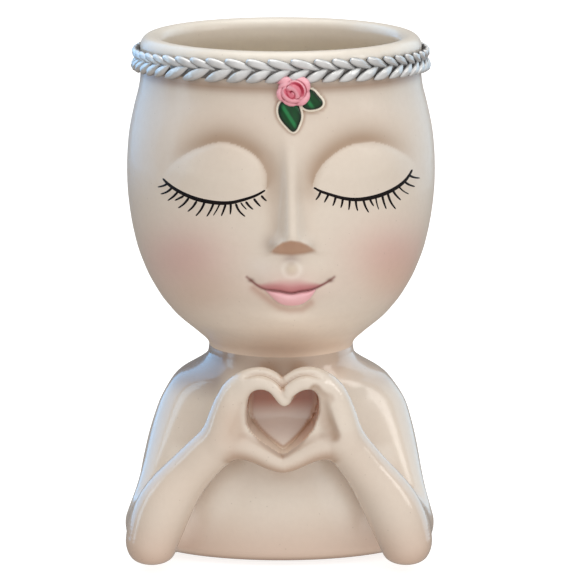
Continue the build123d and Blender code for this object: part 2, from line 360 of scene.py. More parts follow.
def relief(X, Y):
    """Height of the face over the pot's wall in mm at a picture point."""
    hl, sl, _, _, _ = eye(X, Y, LID_L, LASH_L, -1)
    hr, sr, _, _, _ = eye(X, Y, LID_R, LASH_R, +1)
    side = smooth((X - 283) / 16.0)
    h = hl * (1 - side) + hr * side
    # forehead and brow bone between the eyes
    h = h + 0.5 * bump((X - 290) / 30) * bump((Y - 128) / 20)
    # nose
    cx = 291 + (Y - 150) * 0.018
    arch, foot = NOSE_ARCH(X), NOSE_FOOT(X)
    Yn = np.minimum(Y, arch)
    top = np.interp(Yn, [128, 150, 175, 200, 222, 236, 243], [0.2, 1.2, 2.5, 3.8, 5.2, 6.1, 6.2])
    wid = np.interp(Yn, [130, 160, 200, 232, 246], [10.5, 8.4, 8.8, 11.0, 12.4])
    ridge = top * np.exp(-np.abs((X - cx) / wid) ** 2.5) + 0.26 * top * bump((X - cx) / (wid * 1.9))
    tip = 0.6 * bump((X - 292.5) / 8.0) * bump((Yn - 236) / 9.0)
    wings = 2.9 * (bump((X - 277.5) / 7.0) + bump((X - 307.5) / 7.0)) * bump((Yn - 246) / 9.0)
    t = np.clip((Y - arch) / np.maximum(foot + 1.5 - arch, 5.0), 0, 1)
    nose = (ridge + tip + wings) * (1 - t) * (1 - 0.35 * t * t)
    h = h + nose
    # creases beside the bridge
    dl1, _ = line_dist(X, Y, np.array([(270, 158), (273, 185), (274, 228)]))
    dl2, _ = line_dist(X, Y, np.array([(312, 165), (310, 190), (310, 228)]))
    h = h - 0.45 * bump(dl1 / 9.0) - 0.25 * bump(dl2 / 9.0)
    # cheeks, muzzle, chin
    h = h + 0.8 * bump(np.hypot((X - 205) / 42, (Y - 250) / 34)) + 0.8 * bump(np.hypot((X - 380) / 42, (Y - 250) / 34))
    h = h + 1.5 * bump(np.hypot((X - 291) / 34, (Y - 284) / 24))
    h = h + 1.4 * bump(np.hypot((X - 288) / 26, (Y - 324) / 11))
    # philtrum
    h = h - 0.60 * bump(np.hypot((X - 291) / 8.0, (Y - 259.5) / 4.5)) + 0.85 * bump(np.hypot((X - 292) / 6.5, (Y - 269) / 6.0))
    # lips
    dm, sm = line_dist(X, Y, MOUTH)
    my = np.interp(X, MOUTH[:, 0], MOUTH[:, 1])
    span = smooth((X - 258) / 20) * smooth((325 - X) / 20)
    h = h + 1.1 * span * bump((Y - (my - 6.0)) / 6.0)
    loop = np.concatenate([MOUTH[(MOUTH[:, 0] > 264) & (MOUTH[:, 0] < 318)], LOWER[::-1]])
    ins = inside(X, Y, loop)
    dlow, _ = line_dist(X, Y, np.concatenate([loop, loop[:1]]))
    lip = np.where(ins, 2.0 * np.sqrt(np.clip(1 - (1 - np.clip(dlow / 7.5, 0, 1)) ** 2, 0, 1)), 0)
    h = h + lip
    ends = smooth(sm / 0.08) * smooth((1 - sm) / 0.08)
    h = h - (0.12 + 0.22 * ends + 0.60 * span) * bump(dm / 2.6)
    h = h - 0.35 * bump(np.hypot((X - 251) / 7, (Y - 281) / 7)) - 0.35 * bump(np.hypot((X - 330) / 7, (Y - 281) / 7))
    h = h - 0.8 * bump(np.hypot((X - 289) / 20, (Y - 311.5) / 5.0))
    return h


def head_colour(X, Y, front, z):
    """The glaze's colour over the head: cream, with painted shade, warmer, in the hollows and under the features,
    painted light on a few bulges, blush on the cheeks and pink lips.
    """
    n = len(X)
    col = np.tile(lin(226, 214, 199), (n, 1))

    def lay(w, c):
        nonlocal col
        w = np.clip(w * front, 0, 1)[:, None]
        col = col * (1 - w) + np.asarray(c) * w

    _, s1, i1, du1, dl1 = eye(X, Y, LID_L, LASH_L, -1)
    _, s2, i2, du2, dl2 = eye(X, Y, LID_R, LASH_R, +1)
    side = smooth((X - 283) / 16.0)
    shade = s1 * (1 - side) + s2 * side
    # painted shade: broad darker tan over the brows, heavier on the left
    lay(0.30 * bump(np.hypot((X - 232) / 60, (Y - 128) / 34)), lin(204, 176, 156))
    lay(0.22 * bump(np.hypot((X - 350) / 60, (Y - 122) / 34)), lin(204, 180, 162))
    lay(0.98 * shade * (1 + 0.04 * side), lin(170, 144, 121))
    # painted shade down the sides of the nose bridge, heavier on the left
    d1, _ = line_dist(X, Y, np.array([(268, 158), (274, 190), (275, 228), (272, 246)]))
    d2, _ = line_dist(X, Y, np.array([(314, 168), (309, 195), (309, 228), (312, 246)]))
    lay(0.42 * bump(d1 / 8), lin(188, 168, 150))
    lay(0.12 * bump(d2 / 7), lin(196, 172, 152))
    lay(0.50 * bump(np.hypot((X - 184) / 46, (Y - 258) / 32)), lin(206, 146, 144))
    lay(0.50 * bump(np.hypot((X - 392) / 44, (Y - 254) / 30)), lin(208, 148, 142))
    lay(0.30 * bump(np.hypot((X - 400) / 34, (Y - 282) / 24)), lin(214, 158, 130))
    lay(0.36 * bump(np.hypot((X - 202) / 40, (Y - 294) / 24)), lin(200, 160, 136))
    # painted shade under the nose, along its foot and on its left wing
    arch, foot = NOSE_ARCH(X), NOSE_FOOT(X)
    lens = smooth((Y - arch + 1.6) / 3.4) * smooth((foot - Y + 1.4) / 3.0) * smooth((foot - arch) / 4.0)
    lay(0.95 * lens, lin(184, 143, 116))
    lay(0.35 * bump((Y - foot) / 2.2) * smooth((foot - arch) / 4.0), lin(150, 108, 84))
    lay(0.40 * bump(np.hypot((X - 268) / 7, (Y - 243) / 9)), lin(188, 172, 160))
    # philtrum: painted shade at the top of the dimple, painted light on the muzzle either side, a painted highlight
    # round its ring and a warmer centre
    lay(0.80 * bump(np.hypot((X - 291) / 8.0, (Y - 259.4) / 4.0)), lin(168, 146, 136))
    lay(0.40 * bump(np.hypot((X - 262) / 15, (Y - 269) / 13)), lin(222, 214, 206))
    lay(0.40 * bump(np.hypot((X - 318) / 14, (Y - 267) / 13)), lin(230, 218, 202))
    ring = np.hypot((X - 292) / 8.5, (Y - 269.5) / 8.0)
    lay(0.75 * bump((ring - 1) / 0.32) * (0.55 + 0.45 * smooth((Y - 262) / 8)), lin(244, 236, 224))
    lay(0.45 * bump(ring / 0.7), lin(218, 204, 174))
    # lips
    my = np.interp(X, MOUTH[:, 0], MOUTH[:, 1])
    dm, sm = line_dist(X, Y, MOUTH)
    up = np.interp(X, [250, 262, 270, 280, 291, 300, 312, 320, 334], [283, 282.5, 279.6, 277.0, 276.8, 277.0, 280, 283.2, 283])
    lay(0.30 * bump(np.hypot((X - 291) / 36, (Y - 287) / 15)), lin(214, 150, 146))
    t = np.clip((Y - up) / np.maximum(my - up, 1.0), 0, 1)
    span = smooth((X - 251) / 14) * smooth((330 - X) / 13)
    lay(0.92 * span * smooth(t * 1.35) * (Y < my + 0.5), lin(200, 124, 130))
    # painted shade under the lower lip
    low = np.array([(254, 288), (262, 294.5), (271, 301.5), (280, 307.5), (290, 310.5), (302, 309.5), (311, 303)], float)
    db, _ = line_dist(X, Y, low)
    lay(0.50 * bump(db / 4.0), lin(176, 122, 100))
    loop = np.concatenate([MOUTH[(MOUTH[:, 0] > 264) & (MOUTH[:, 0] < 318)], LOWER[::-1]])
    ins = inside(X, Y, loop)
    dlow, _ = line_dist(X, Y, np.concatenate([loop, loop[:1]]))
    lay(np.where(ins, 0.97 * smooth((dlow + 1.4) / 2.4), 0.0), lin(248, 186, 194))
    lay(np.where(ins, 0.60 * bump(np.hypot((X - 291) / 14, (Y - 297.5) / 4)), 0.0), lin(250, 204, 208))
    ends = smooth(sm / 0.1) * smooth((1 - sm) / 0.1)
    lay(0.95 * bump(dm / 1.35) * (0.75 + 0.25 * ends), lin(118, 44, 46))
    for cx_, cy_ in ((251, 280.5), (330.5, 280.5)):
        lay(0.80 * bump(np.hypot((X - cx_) / 3.0, (Y - cy_) / 2.0)), lin(104, 54, 40))
    # painted light under the chin and down to the neck, where the chin is in shade
    lay(0.95 * smooth((Y - 299) / 39) * smooth((357 - Y) / 10) * bump((X - 286) / 84), lin(244, 227, 209))
    # painted shade: the thin dark line round where the rose and its leaves are laid on
    for loop in (LEAF_DOWN, LEAF_SIDE):
        d = polygon(X, Y, np.array(loop, float))
        lay(0.55 * bump((d - 3.0) / 1.6), lin(160, 122, 96))
    lay(0.50 * bump((np.hypot((X - 292.5) / 17.5, (Y - 92.5) / 16.0) - 1) / 0.10), lin(170, 120, 104))
    return col


def spacing_points(a, b, step):
    """Places from a to b whose spacing follows step(t)."""
    t = [a]
    while t[-1] < b:
        t.append(t[-1] + step(t[-1]))
    t = np.array(t)
    return a + (t - a) * (b - a) / (t[-1] - a)


def head_piece():
    # profile, from the rim of the drain hole down the outside of the floor, up the wall, over the lip and down inside
    def step_z(z):
        return float(np.interp(z, [80, 99, 103, 134, 138, 178, 184, 201], [1.1, 1.0, 0.36, 0.36, 0.56, 0.56, 1.2, 1.2]))

    zz = spacing_points(79.3, 201.0, step_z)
    dense = spline(np.column_stack([OUT_R, OUT_Z]), 1600)
    rr = np.interp(zz, dense[:, 1], dense[:, 0])
    outer = np.column_stack([rr, zz])
    # rolled lip: a full round with its centre at radius 51.3, z 201
    a = np.linspace(0, math.pi, 26)[1:]
    lip = np.column_stack([51.3 + 4.3 * np.cos(a), 201 + 4.3 * np.sin(a)])
    inner_in = spline([(47.0, 201), (46.9, 198.5), (47.6, 195.5), (49.8, 190), (51.6, 184), (54.0, 175), (55.8, 165), (56.4, 152), (55.6, 140), (53.4, 128), (49.4, 116), (43.6, 106), (36.0, 98.6), (26.0, 95.4), (15.0, 94.6), (7.0, 94.2), (5.6, 93.9)], 74)[1:]
    hole_in = np.array([(5.15, 93.3), (5.0, 92.4), (5.0, 88), (5.0, 78), (5.0, 75.6), (5.3, 75.0), (6.0, 74.7)])
    under = np.array([(10, 74.6), (19.2, 74.6), (19.9, 75.3), (19.9, 79.0), (20.3, 79.3), (24, 79.3), (28.0, 79.3)])
    prof = np.concatenate([outer, lip, inner_in, hole_in, under])
    n_out = len(outer)

    def step_a(s):
        s = abs(s - 4.0)
        return float(np.interp(s, [0, 20, 24, 50, 62, 90, 200], [0.40, 0.40, 0.62, 0.66, 1.6, 3.2, 4.0]))

    half = math.pi * 61.2
    s = spacing_points(-half, half, step_a)[:-1]
    th = s / 61.2
    rows, cols = len(prof), len(th)
    ux, uy = np.sin(th), -np.cos(th)
    R = np.repeat(prof[:, 0:1], cols, 1)
    Z = np.repeat(prof[:, 1:2], cols, 1)
    is_out = np.zeros((rows, 1))
    is_out[:n_out] = 1
    front = is_out * smooth((np.cos(th) - 0.10) / 0.30)[None, :] * smooth((193 - Z) / 6) * smooth((Z - 82) / 6)
    H = np.zeros_like(R)
    P = np.stack([R * ux, R * uy, Z], -1)
    face = front > 0
    for _ in range(5):
        X, Y = proj(P)
        h = np.zeros_like(R)
        h[face] = relief(X[face], Y[face])
        H = h * front
        P = np.stack([(R + H) * ux, (R + H) * uy, Z], -1)
    X, Y = proj(P)
    col = np.tile(lin(226, 214, 199), (rows * cols, 1))
    f = face.ravel()
    col[f] = head_colour(X.ravel()[f], Y.ravel()[f], front.ravel()[f], Z.ravel()[f])
    # painted light on the neck, which the chin shades; it goes on in the bust below
    w = (neck_painted_light(Z) * is_out).ravel()[:, None]
    col = col * (1 - w) + lin(*NECK_PAINTED_LIGHT) * w
    # painted light on the top of the lip, where light from above falls
    w = (0.75 * smooth((Z - 196.5) / 4.0) * smooth((R - 46.5) / 2.0)).ravel()[:, None]
    col = col * (1 - w) + lin(240, 234, 222) * w
    # inside of the pot: the same glaze, painted lighter and yellower further down, as painted light in the pot's shade
    inn = np.zeros((rows, cols))
    inn[n_out + len(lip):n_out + len(lip) + len(inner_in)] = 1
    depth = smooth((198 - Z) / 30) * inn
    d = depth.ravel()[:, None] * 0.85
    col = col * (1 - d) + lin(233, 227, 206) * d
    raw = np.zeros((rows, cols))
    raw[n_out + len(lip) + len(inner_in):] = 1
    col[raw.ravel() > 0] = lin(214, 203, 188)
    # painted shade: a warm dark band under the braid and against the rose
    pool = bump((Z - 191.6) / 2.2) * is_out
    p = (0.70 * pool).ravel()[:, None]
    col = col * (1 - p) + lin(150, 112, 84) * p
    satin = smooth((190 - Z) / 10) * is_out + np.zeros_like(R)
    satin = satin * (1 - 0.55 * smooth((82 - Y) / 20) * (face > 0))
    satin = satin * (1 - 0.60 * smooth((np.abs(ux)[None, :] - 0.62) / 0.24))
    faces = grid_faces(rows, cols, closed_u=True, closed_v=True)
    o = make("head_pot_glazed", P.reshape(-1, 3), faces, mat_satin, stands_for=("head_pot",), attrs={"tint": col, "satin": satin.ravel()}, flat=faces[:, 0] // cols >= rows - len(under) - 2)
    print("head", len(faces), "faces")
    return o, P.reshape(-1, 3), faces


head, head_v, head_f = head_piece()

# ---------------------------------------------------------------------------
# The bust: one casting with its arms and hands, built as a distance field in mm
# and turned into a mesh whose points and normals lie on the field itself
# ---------------------------------------------------------------------------
def smin(a, b, k):
    h = np.clip(0.5 + 0.5 * (b - a) / k, 0, 1)
    return b * (1 - h) + a * h - k * h * (1 - h)


def smax(a, b, k):
    return -smin(-a, -b, k)


def round_max(a, b, r):
    """Intersection whose edge is rounded to radius r."""
    return np.minimum(np.maximum(a, b), -r) + np.hypot(np.maximum(a + r, 0), np.maximum(b + r, 0))


def rod(P, a, b, ra, rb):
    a, b = np.asarray(a, float), np.asarray(b, float)
    ba = b - a
    x, y, z = P[:, 0] - a[0], P[:, 1] - a[1], P[:, 2] - a[2]
    t = np.clip((x * ba[0] + y * ba[1] + z * ba[2]) / (ba @ ba), 0, 1)
    x, y, z = x - t * ba[0], y - t * ba[1], z - t * ba[2]
    return np.sqrt(x * x + y * y + z * z) - (ra + (rb - ra) * t)


def limb(P, points, n=12):
    """A smooth tube through (x, y, z, radius) points. Places more than 6 mm off it only get that much."""
    Q = spline(points, n)
    lo = (Q[:, :3] - Q[:, 3:]).min(0) - 6
    hi = (Q[:, :3] + Q[:, 3:]).max(0) + 6
    d = np.full(len(P), 9.0)
    m = ((P > lo) & (P < hi)).all(1)
    if m.any():
        T = P[m]
        best = rod(T, Q[0, :3], Q[1, :3], Q[0, 3], Q[1, 3])
        for i in range(1, n - 1):
            best = np.minimum(best, rod(T, Q[i, :3], Q[i + 1, :3], Q[i, 3], Q[i + 1, 3]))
        d[m] = best
    return d


def loft(P, sections):
    """Distance, near the wall, to a stack of ellipses (z, a, b, centre y)."""
    zs = sections[:, 0]
    z = np.clip(P[:, 2], zs[0], zs[-1])
    a, b, c = (np.interp(z, zs, sections[:, i]) for i in (1, 2, 3))
    da, db = (np.interp(z, zs, np.gradient(sections[:, i], zs)) for i in (1, 2))
    x, y = P[:, 0], P[:, 1] - c
    rho = np.sqrt((x / a) ** 2 + (y / b) ** 2) + 1e-9
    gx, gy = x / a**2 / rho, y / b**2 / rho
    gz = -(x**2 * da / a**3 + y**2 * db / b**3) / rho
    g = np.sqrt(gx**2 + gy**2 + np.clip(gz, -0.05, 0.05) ** 2)
    return np.maximum((rho - 1) / g, -14.0)


def px(points, y):
    """Picture points put at depth y, as (x, z)."""
    return np.array([[*at_y(X, Y, y)[[0, 2]]] for X, Y in points])


def px3(points):
    """(X, Y, y, radius) picture points as (x, y, z, radius)."""
    return np.array([[*at_y(X, Y, y), r] for X, Y, y, r in points])


MIRROR = 565.6
BODY = spline([(-4, 58.0, 40.8, 0.8), (8, 58.6, 41.3, 0.75), (25, 57.0, 42.0, -0.4), (45, 52.4, 37.2, 0.8), (56, 48.0, 33.6, 0.9), (63, 44.9, 31.6, 0.5), (68.6, 41.6, 30.4, 0.2), (71.6, 37.2, 29.6, 0.1), (74.6, 31.9, 29.1, 0.0), (77.3, 29.3, 28.85, 0.0), (79.4, 28.95, 28.85, 0.0), (80.6, 28.78, 28.78, 0.0), (81.8, 28.7, 28.7, 0.0), (84, 28.6, 28.6, 0.0)], 140)
HOLLOW = spline([(4, 45.8, 27.8, 2.4), (9, 46.5, 28.5, 2.2), (25, 46.0, 29.0, 2.0), (45, 42.0, 27.0, 1.5), (60, 36.0, 23.5, 0.8), (73, 24.0, 20.5, 0.2), (79, 20.2, 20.2, 0.0), (90, 20.0, 20.0, 0.0)], 80)
HAND_LOOP = spline([(213, 428), (215, 418), (219, 406), (224, 395.5), (229, 388), (236, 381), (245, 374.8), (254.3, 371), (263.5, 370), (272.7, 372.8), (280.5, 377.6), (284.2, 381.4), (285.6, 381.4), (289, 377), (296.8, 371.2), (308, 369), (319.7, 370.5), (330.5, 376.8), (339.5, 385.4), (346, 395.5), (350, 406), (353, 417), (355.5, 428)], 90)
HAND_LOW = spline([(353, 452), (342, 462), (328, 460.6), (316.3, 459), (302.5, 460.8), (293.4, 466), (285.3, 471), (277.3, 471), (268, 466.8), (258.9, 461.2), (247.4, 459), (232, 459.6), (222, 462), (214, 452)], 60)
HAND_2D = px(np.concatenate([HAND_LOOP, HAND_LOW]), -52.0)
HEART_2D = px(np.concatenate([
    spline([(247.0, 424), (246.8, 412), (248.2, 401), (251.5, 393.6), (257, 390.0), (263, 389.2), (268.5, 390.6), (272.9, 395), (276.6, 400.8), (281.5, 405.4), (285.6, 407.4)], 40),
    spline([(287.0, 407.2), (290.4, 404.4), (293.8, 398.8), (297.6, 394), (303, 390.8), (309, 389.4), (314.6, 391.2), (318.2, 396.8), (319.4, 404), (318.6, 414), (315.6, 424)], 40)[0:],
    spline([(313.6, 429.0), (308, 437), (300, 444.8), (291.5, 451.4), (284.6, 456.0)], 16),
    spline([(281.6, 455.6), (273, 450.4), (262.5, 443.4), (253.5, 435.4), (248.6, 429)], 16),
]), -53.0)


def mirrored(points):
    return [(MIRROR - X, Y, *rest) for X, Y, *rest in points]


ARM_L = [(152, 541.5, -46.5, 10.2), (162.8, 510, -45.4, 11.0), (187, 475, -45.0, 8.95), (207, 454, -46.2, 8.4), (222, 440, -47.0, 8.2)]
PALM_L = [(222, 441, -47.0, 8.2), (225.5, 424, -47.8, 7.5), (230, 407, -48.4, 6.6), (236.5, 393, -49.4, 5.6), (244, 385, -51.0, 4.2)]
INDEX_L = [(238, 399, -50.6, 3.2), (243.5, 389.5, -52.4, 3.2), (252, 384.2, -53.6, 3.0), (262, 383.2, -54.2, 2.9), (271.5, 387.6, -54.4, 2.75), (278.5, 394.4, -54.4, 2.6), (283.4, 400.4, -54.2, 2.5)]
MIDDLE_L = [(233, 391, -48.2, 4.2), (243, 379.5, -49.8, 3.3), (254, 374.6, -50.4, 2.8), (264, 374.4, -50.6, 2.7), (274, 378.8, -50.8, 2.6), (281, 385.4, -50.8, 2.5), (284.4, 391.5, -50.8, 2.4)]
THUMB_L = [(226, 446, -49.0, 5.6), (238, 446.6, -50.0, 5.0), (251, 450.0, -50.8, 4.5), (263, 456.0, -51.6, 4.0), (273.5, 461.6, -52.4, 3.6), (281.8, 464.8, -53.0, 3.2)]
ARM_R = [(406.0, 541.5, -46.5, 10.2), (394.0, 511, -45.4, 11.1), (370, 474.5, -45.0, 8.95), (355, 455, -46.2, 8.4), (343.4, 441, -47.0, 8.2)]
PALM_R = mirrored(PALM_L)
INDEX_R = mirrored(INDEX_L)
INDEX_R[-1] = (286.4, 399.4, -53.6, 2.4)
MIDDLE_R = mirrored(MIDDLE_L)
MIDDLE_R[-1] = (286.4, 390.6, -50.4, 2.3)
THUMB_R = mirrored(THUMB_L)
FINGERS = [px3(a) for a in (INDEX_L, MIDDLE_L, INDEX_R, MIDDLE_R)]
THUMBS = [px3(a) for a in (THUMB_L, THUMB_R)]
PALMS = [px3(a) for a in (PALM_L, PALM_R)]
FOREARMS = [px3(a) for a in (ARM_L, ARM_R)]
CREASES = [px3(a) for a in ([(315.5, 390, -56.4, 1.3), (321, 396.4, -56.2, 1.4), (330, 399.4, -55.8, 1.0)], [(322.0, 401, -55.4, 1.4), (324.0, 413, -55.0, 1.9), (327.5, 426, -55.0, 2.3), (334, 437, -55.6, 1.7)], [(244.5, 408, -55.6, 0.9), (241.5, 422, -55.9, 1.1), (234, 434, -56.2, 0.9)])]


def hands(P):
    """Both hands with the wall behind them, and the heart between them cut out."""
    f = polygon(P[:, 0], P[:, 2], HAND_2D[::2]) + 2.2 * smooth((P[:, 1] + 48.0) / 12.0) + 9.0 * smooth((P[:, 1] + 38.0) / 14.0)
    slab = np.maximum(-52.0 - P[:, 1], P[:, 1] + 20.0)
    f = round_max(f, slab, 3.2)
    for a in PALMS:
        f = smin(f, limb(P, a, 22), 2.2)
    t = limb(P, THUMBS[0], 18)
    t = np.minimum(t, limb(P, THUMBS[1], 18))
    f = smin(f, t, 1.8)
    index = smin(limb(P, FINGERS[0], 18), limb(P, FINGERS[2], 18), 0.6)
    middle = smin(limb(P, FINGERS[1], 18), limb(P, FINGERS[3], 18), 0.6)
    f = smin(f, smin(index, middle, 0.8), 1.4)
    for c in CREASES:
        f = smax(f, -limb(P, c, 6), 2.4)
    hole = polygon(P[:, 0], P[:, 2], HEART_2D[::2]) + (0.03 + 0.07 * smooth((60.0 - P[:, 2]) / 8.0)) * (P[:, 1] + 54)
    hole = np.maximum(hole, 0.8 * (P[:, 1] + 36.0 + 11.6 * smooth((60.0 - P[:, 2]) / 16.0)))
    return smax(f, -hole, 1.1)


def field(P):
    """Distance in mm to the glazed surface of the whole bust."""
    P = np.asarray(P, float)
    core = loft(P, BODY)
    for s in (-1, 1):
        up = rod(P, (s * 35.85 + 1.25, -5, 52.0), (s * 49.7 - 0.5, -30.5, 14.5), 12.2, 11.4)
        core = smin(core, up, 9.0)
    f = core
    low = (P[:, 2] < 66) & (P[:, 1] < -6)
    if low.any():
        Q = P[low]
        a = np.minimum(limb(Q, FOREARMS[0], 40), limb(Q, FOREARMS[1], 40))
        soft = smooth((40.0 - Q[:, 2]) / 20.0) * smooth((np.abs(Q[:, 0]) - 44.0) / 9.0) * smooth((-8.0 - Q[:, 1]) / 16.0)
        g = smin(f[low], a, 1.8 + 8.0 * soft)
        f = f.copy()
        f[low] = g
    # a low swelling of the chest behind the point of the heart
    q = (P - np.array([0.9, -30.5, 45.0])) / np.array([19.0, 8.6, 10.5])
    r = np.sqrt((q * q).sum(1)) + 1e-9
    f = smin(f, r * (r - 1) / (np.sqrt((q * q / np.array([19.0, 8.6, 10.5]) ** 2).sum(1)) + 1e-9), 5.0)
    near = (np.abs(P[:, 0] - 0.9) < 36) & (P[:, 1] < -24) & (P[:, 2] > 28) & (P[:, 2] < 90)
    if near.any():
        f[near] = smin(f[near], hands(P[near]), 2.0)
    f = round_max(f, -P[:, 2], 4.6)
    f = np.maximum(f, P[:, 2] - 82.4)
    return f


def whole(P):
    """The bust with its hollow and foot opening taken out."""
    P = np.asarray(P, float)
    f = field(P)
    ex = np.sqrt((P[:, 0] / 46.0) ** 2 + ((P[:, 1] - 2.5) / 28.0) ** 2)
    foot = np.maximum((ex - 1) * 30.0, P[:, 2] - 7.0)
    hol = np.maximum(loft(P, HOLLOW), 6.9 - P[:, 2])
    return np.maximum(f, -np.minimum(foot, hol))


def gradient(fun, P, e=0.05):
    g = np.zeros_like(P)
    for s in ((1, -1, -1), (-1, -1, 1), (-1, 1, -1), (1, 1, 1)):
        s = np.array(s, float)
        g += s * fun(P + e * s)[:, None]
    return g / (4 * e)


def nets(fun, lo, hi, cell, coarse=4, band=3.6):
    """Surface nets of a field on a regular grid, worked out only near the surface, then moved onto it."""
    lo = np.asarray(lo, float)
    nb = np.ceil((np.asarray(hi) - lo) / (cell * coarse)).astype(int)
    big = cell * coarse
    c = [lo[i] + big * (np.arange(nb[i]) + 0.5) for i in range(3)]
    C = np.stack(np.meshgrid(*c, indexing="ij"), -1).reshape(-1, 3)
    fc = fun(C).reshape(nb)
    n = nb * coarse
    F = np.repeat(np.repeat(np.repeat(np.sign(fc) * 9.0, coarse, 0), coarse, 1), coarse, 2)
    near = np.abs(fc) < band + big * 0.87
    M = np.repeat(np.repeat(np.repeat(near, coarse, 0), coarse, 1), coarse, 2)
    idx = np.argwhere(M)
    P = lo + cell * (idx + 0.5)
    vals = np.empty(len(P))
    for i in range(0, len(P), 200000):
        vals[i:i + 200000] = fun(P[i:i + 200000])
    F[M] = vals
    S = F < 0
    cells = S[:-1, :-1, :-1].astype(np.int8)
    tot = cells.copy()
    for dx in (0, 1):
        for dy in (0, 1):
            for dz in (0, 1):
                if dx or dy or dz:
                    tot = tot + S[dx:n[0] - 1 + dx, dy:n[1] - 1 + dy, dz:n[2] - 1 + dz]
    active = (tot > 0) & (tot < 8)
    ids = -np.ones(active.shape, int)
    A = np.argwhere(active)
    ids[active] = np.arange(len(A))
    acc = np.zeros((len(A), 3))
    cnt = np.zeros(len(A))
    corners = [(dx, dy, dz) for dx in (0, 1) for dy in (0, 1) for dz in (0, 1)]
    val = {c: F[A[:, 0] + c[0], A[:, 1] + c[1], A[:, 2] + c[2]] for c in corners}
    for c0 in corners:
        for ax in range(3):
            if c0[ax]:
                continue
            c1 = tuple(1 if i == ax else c0[i] for i in range(3))
            a, b = val[c0], val[c1]
            cross = (a < 0) != (b < 0)
            t = np.where(cross, a / np.where(cross, a - b, 1), 0)
            p = np.tile(np.array(c0, float), (len(A), 1))
            p[:, ax] = t
            acc[cross] += p[cross]
            cnt[cross] += 1
    V = lo + cell * (A + 0.5 + acc / cnt[:, None])
    faces = []
    for ax in range(3):
        u, v = (ax + 1) % 3, (ax + 2) % 3
        s0 = [slice(1, -1)] * 3
        s1 = [slice(1, -1)] * 3
        s0[ax] = slice(0, -1)
        s1[ax] = slice(1, None)
        E = np.argwhere(S[tuple(s0)] != S[tuple(s1)])
        off = np.array([1, 1, 1])
        off[ax] = 0
        E = E + off
        inn = S[E[:, 0], E[:, 1], E[:, 2]]

        def cell_at(du, dv):
            q = E.copy()
            q[:, u] += du
            q[:, v] += dv
            return ids[q[:, 0], q[:, 1], q[:, 2]]

        quad = np.stack([cell_at(-1, -1), cell_at(0, -1), cell_at(0, 0), cell_at(-1, 0)], -1)
        quad[~inn] = quad[~inn][:, ::-1]
        faces.append(quad)
    faces = np.concatenate(faces)
    faces = faces[(faces >= 0).all(1)]
    for _ in range(3):
        g = gradient(fun, V)
        d = fun(V)
        V = V - np.clip(d / np.maximum((g**2).sum(1), 0.25), -0.3, 0.3)[:, None] * g
    g = gradient(fun, V, 0.04)
    N = g / np.maximum(np.linalg.norm(g, axis=1), 1e-9)[:, None]
    return V, faces, N


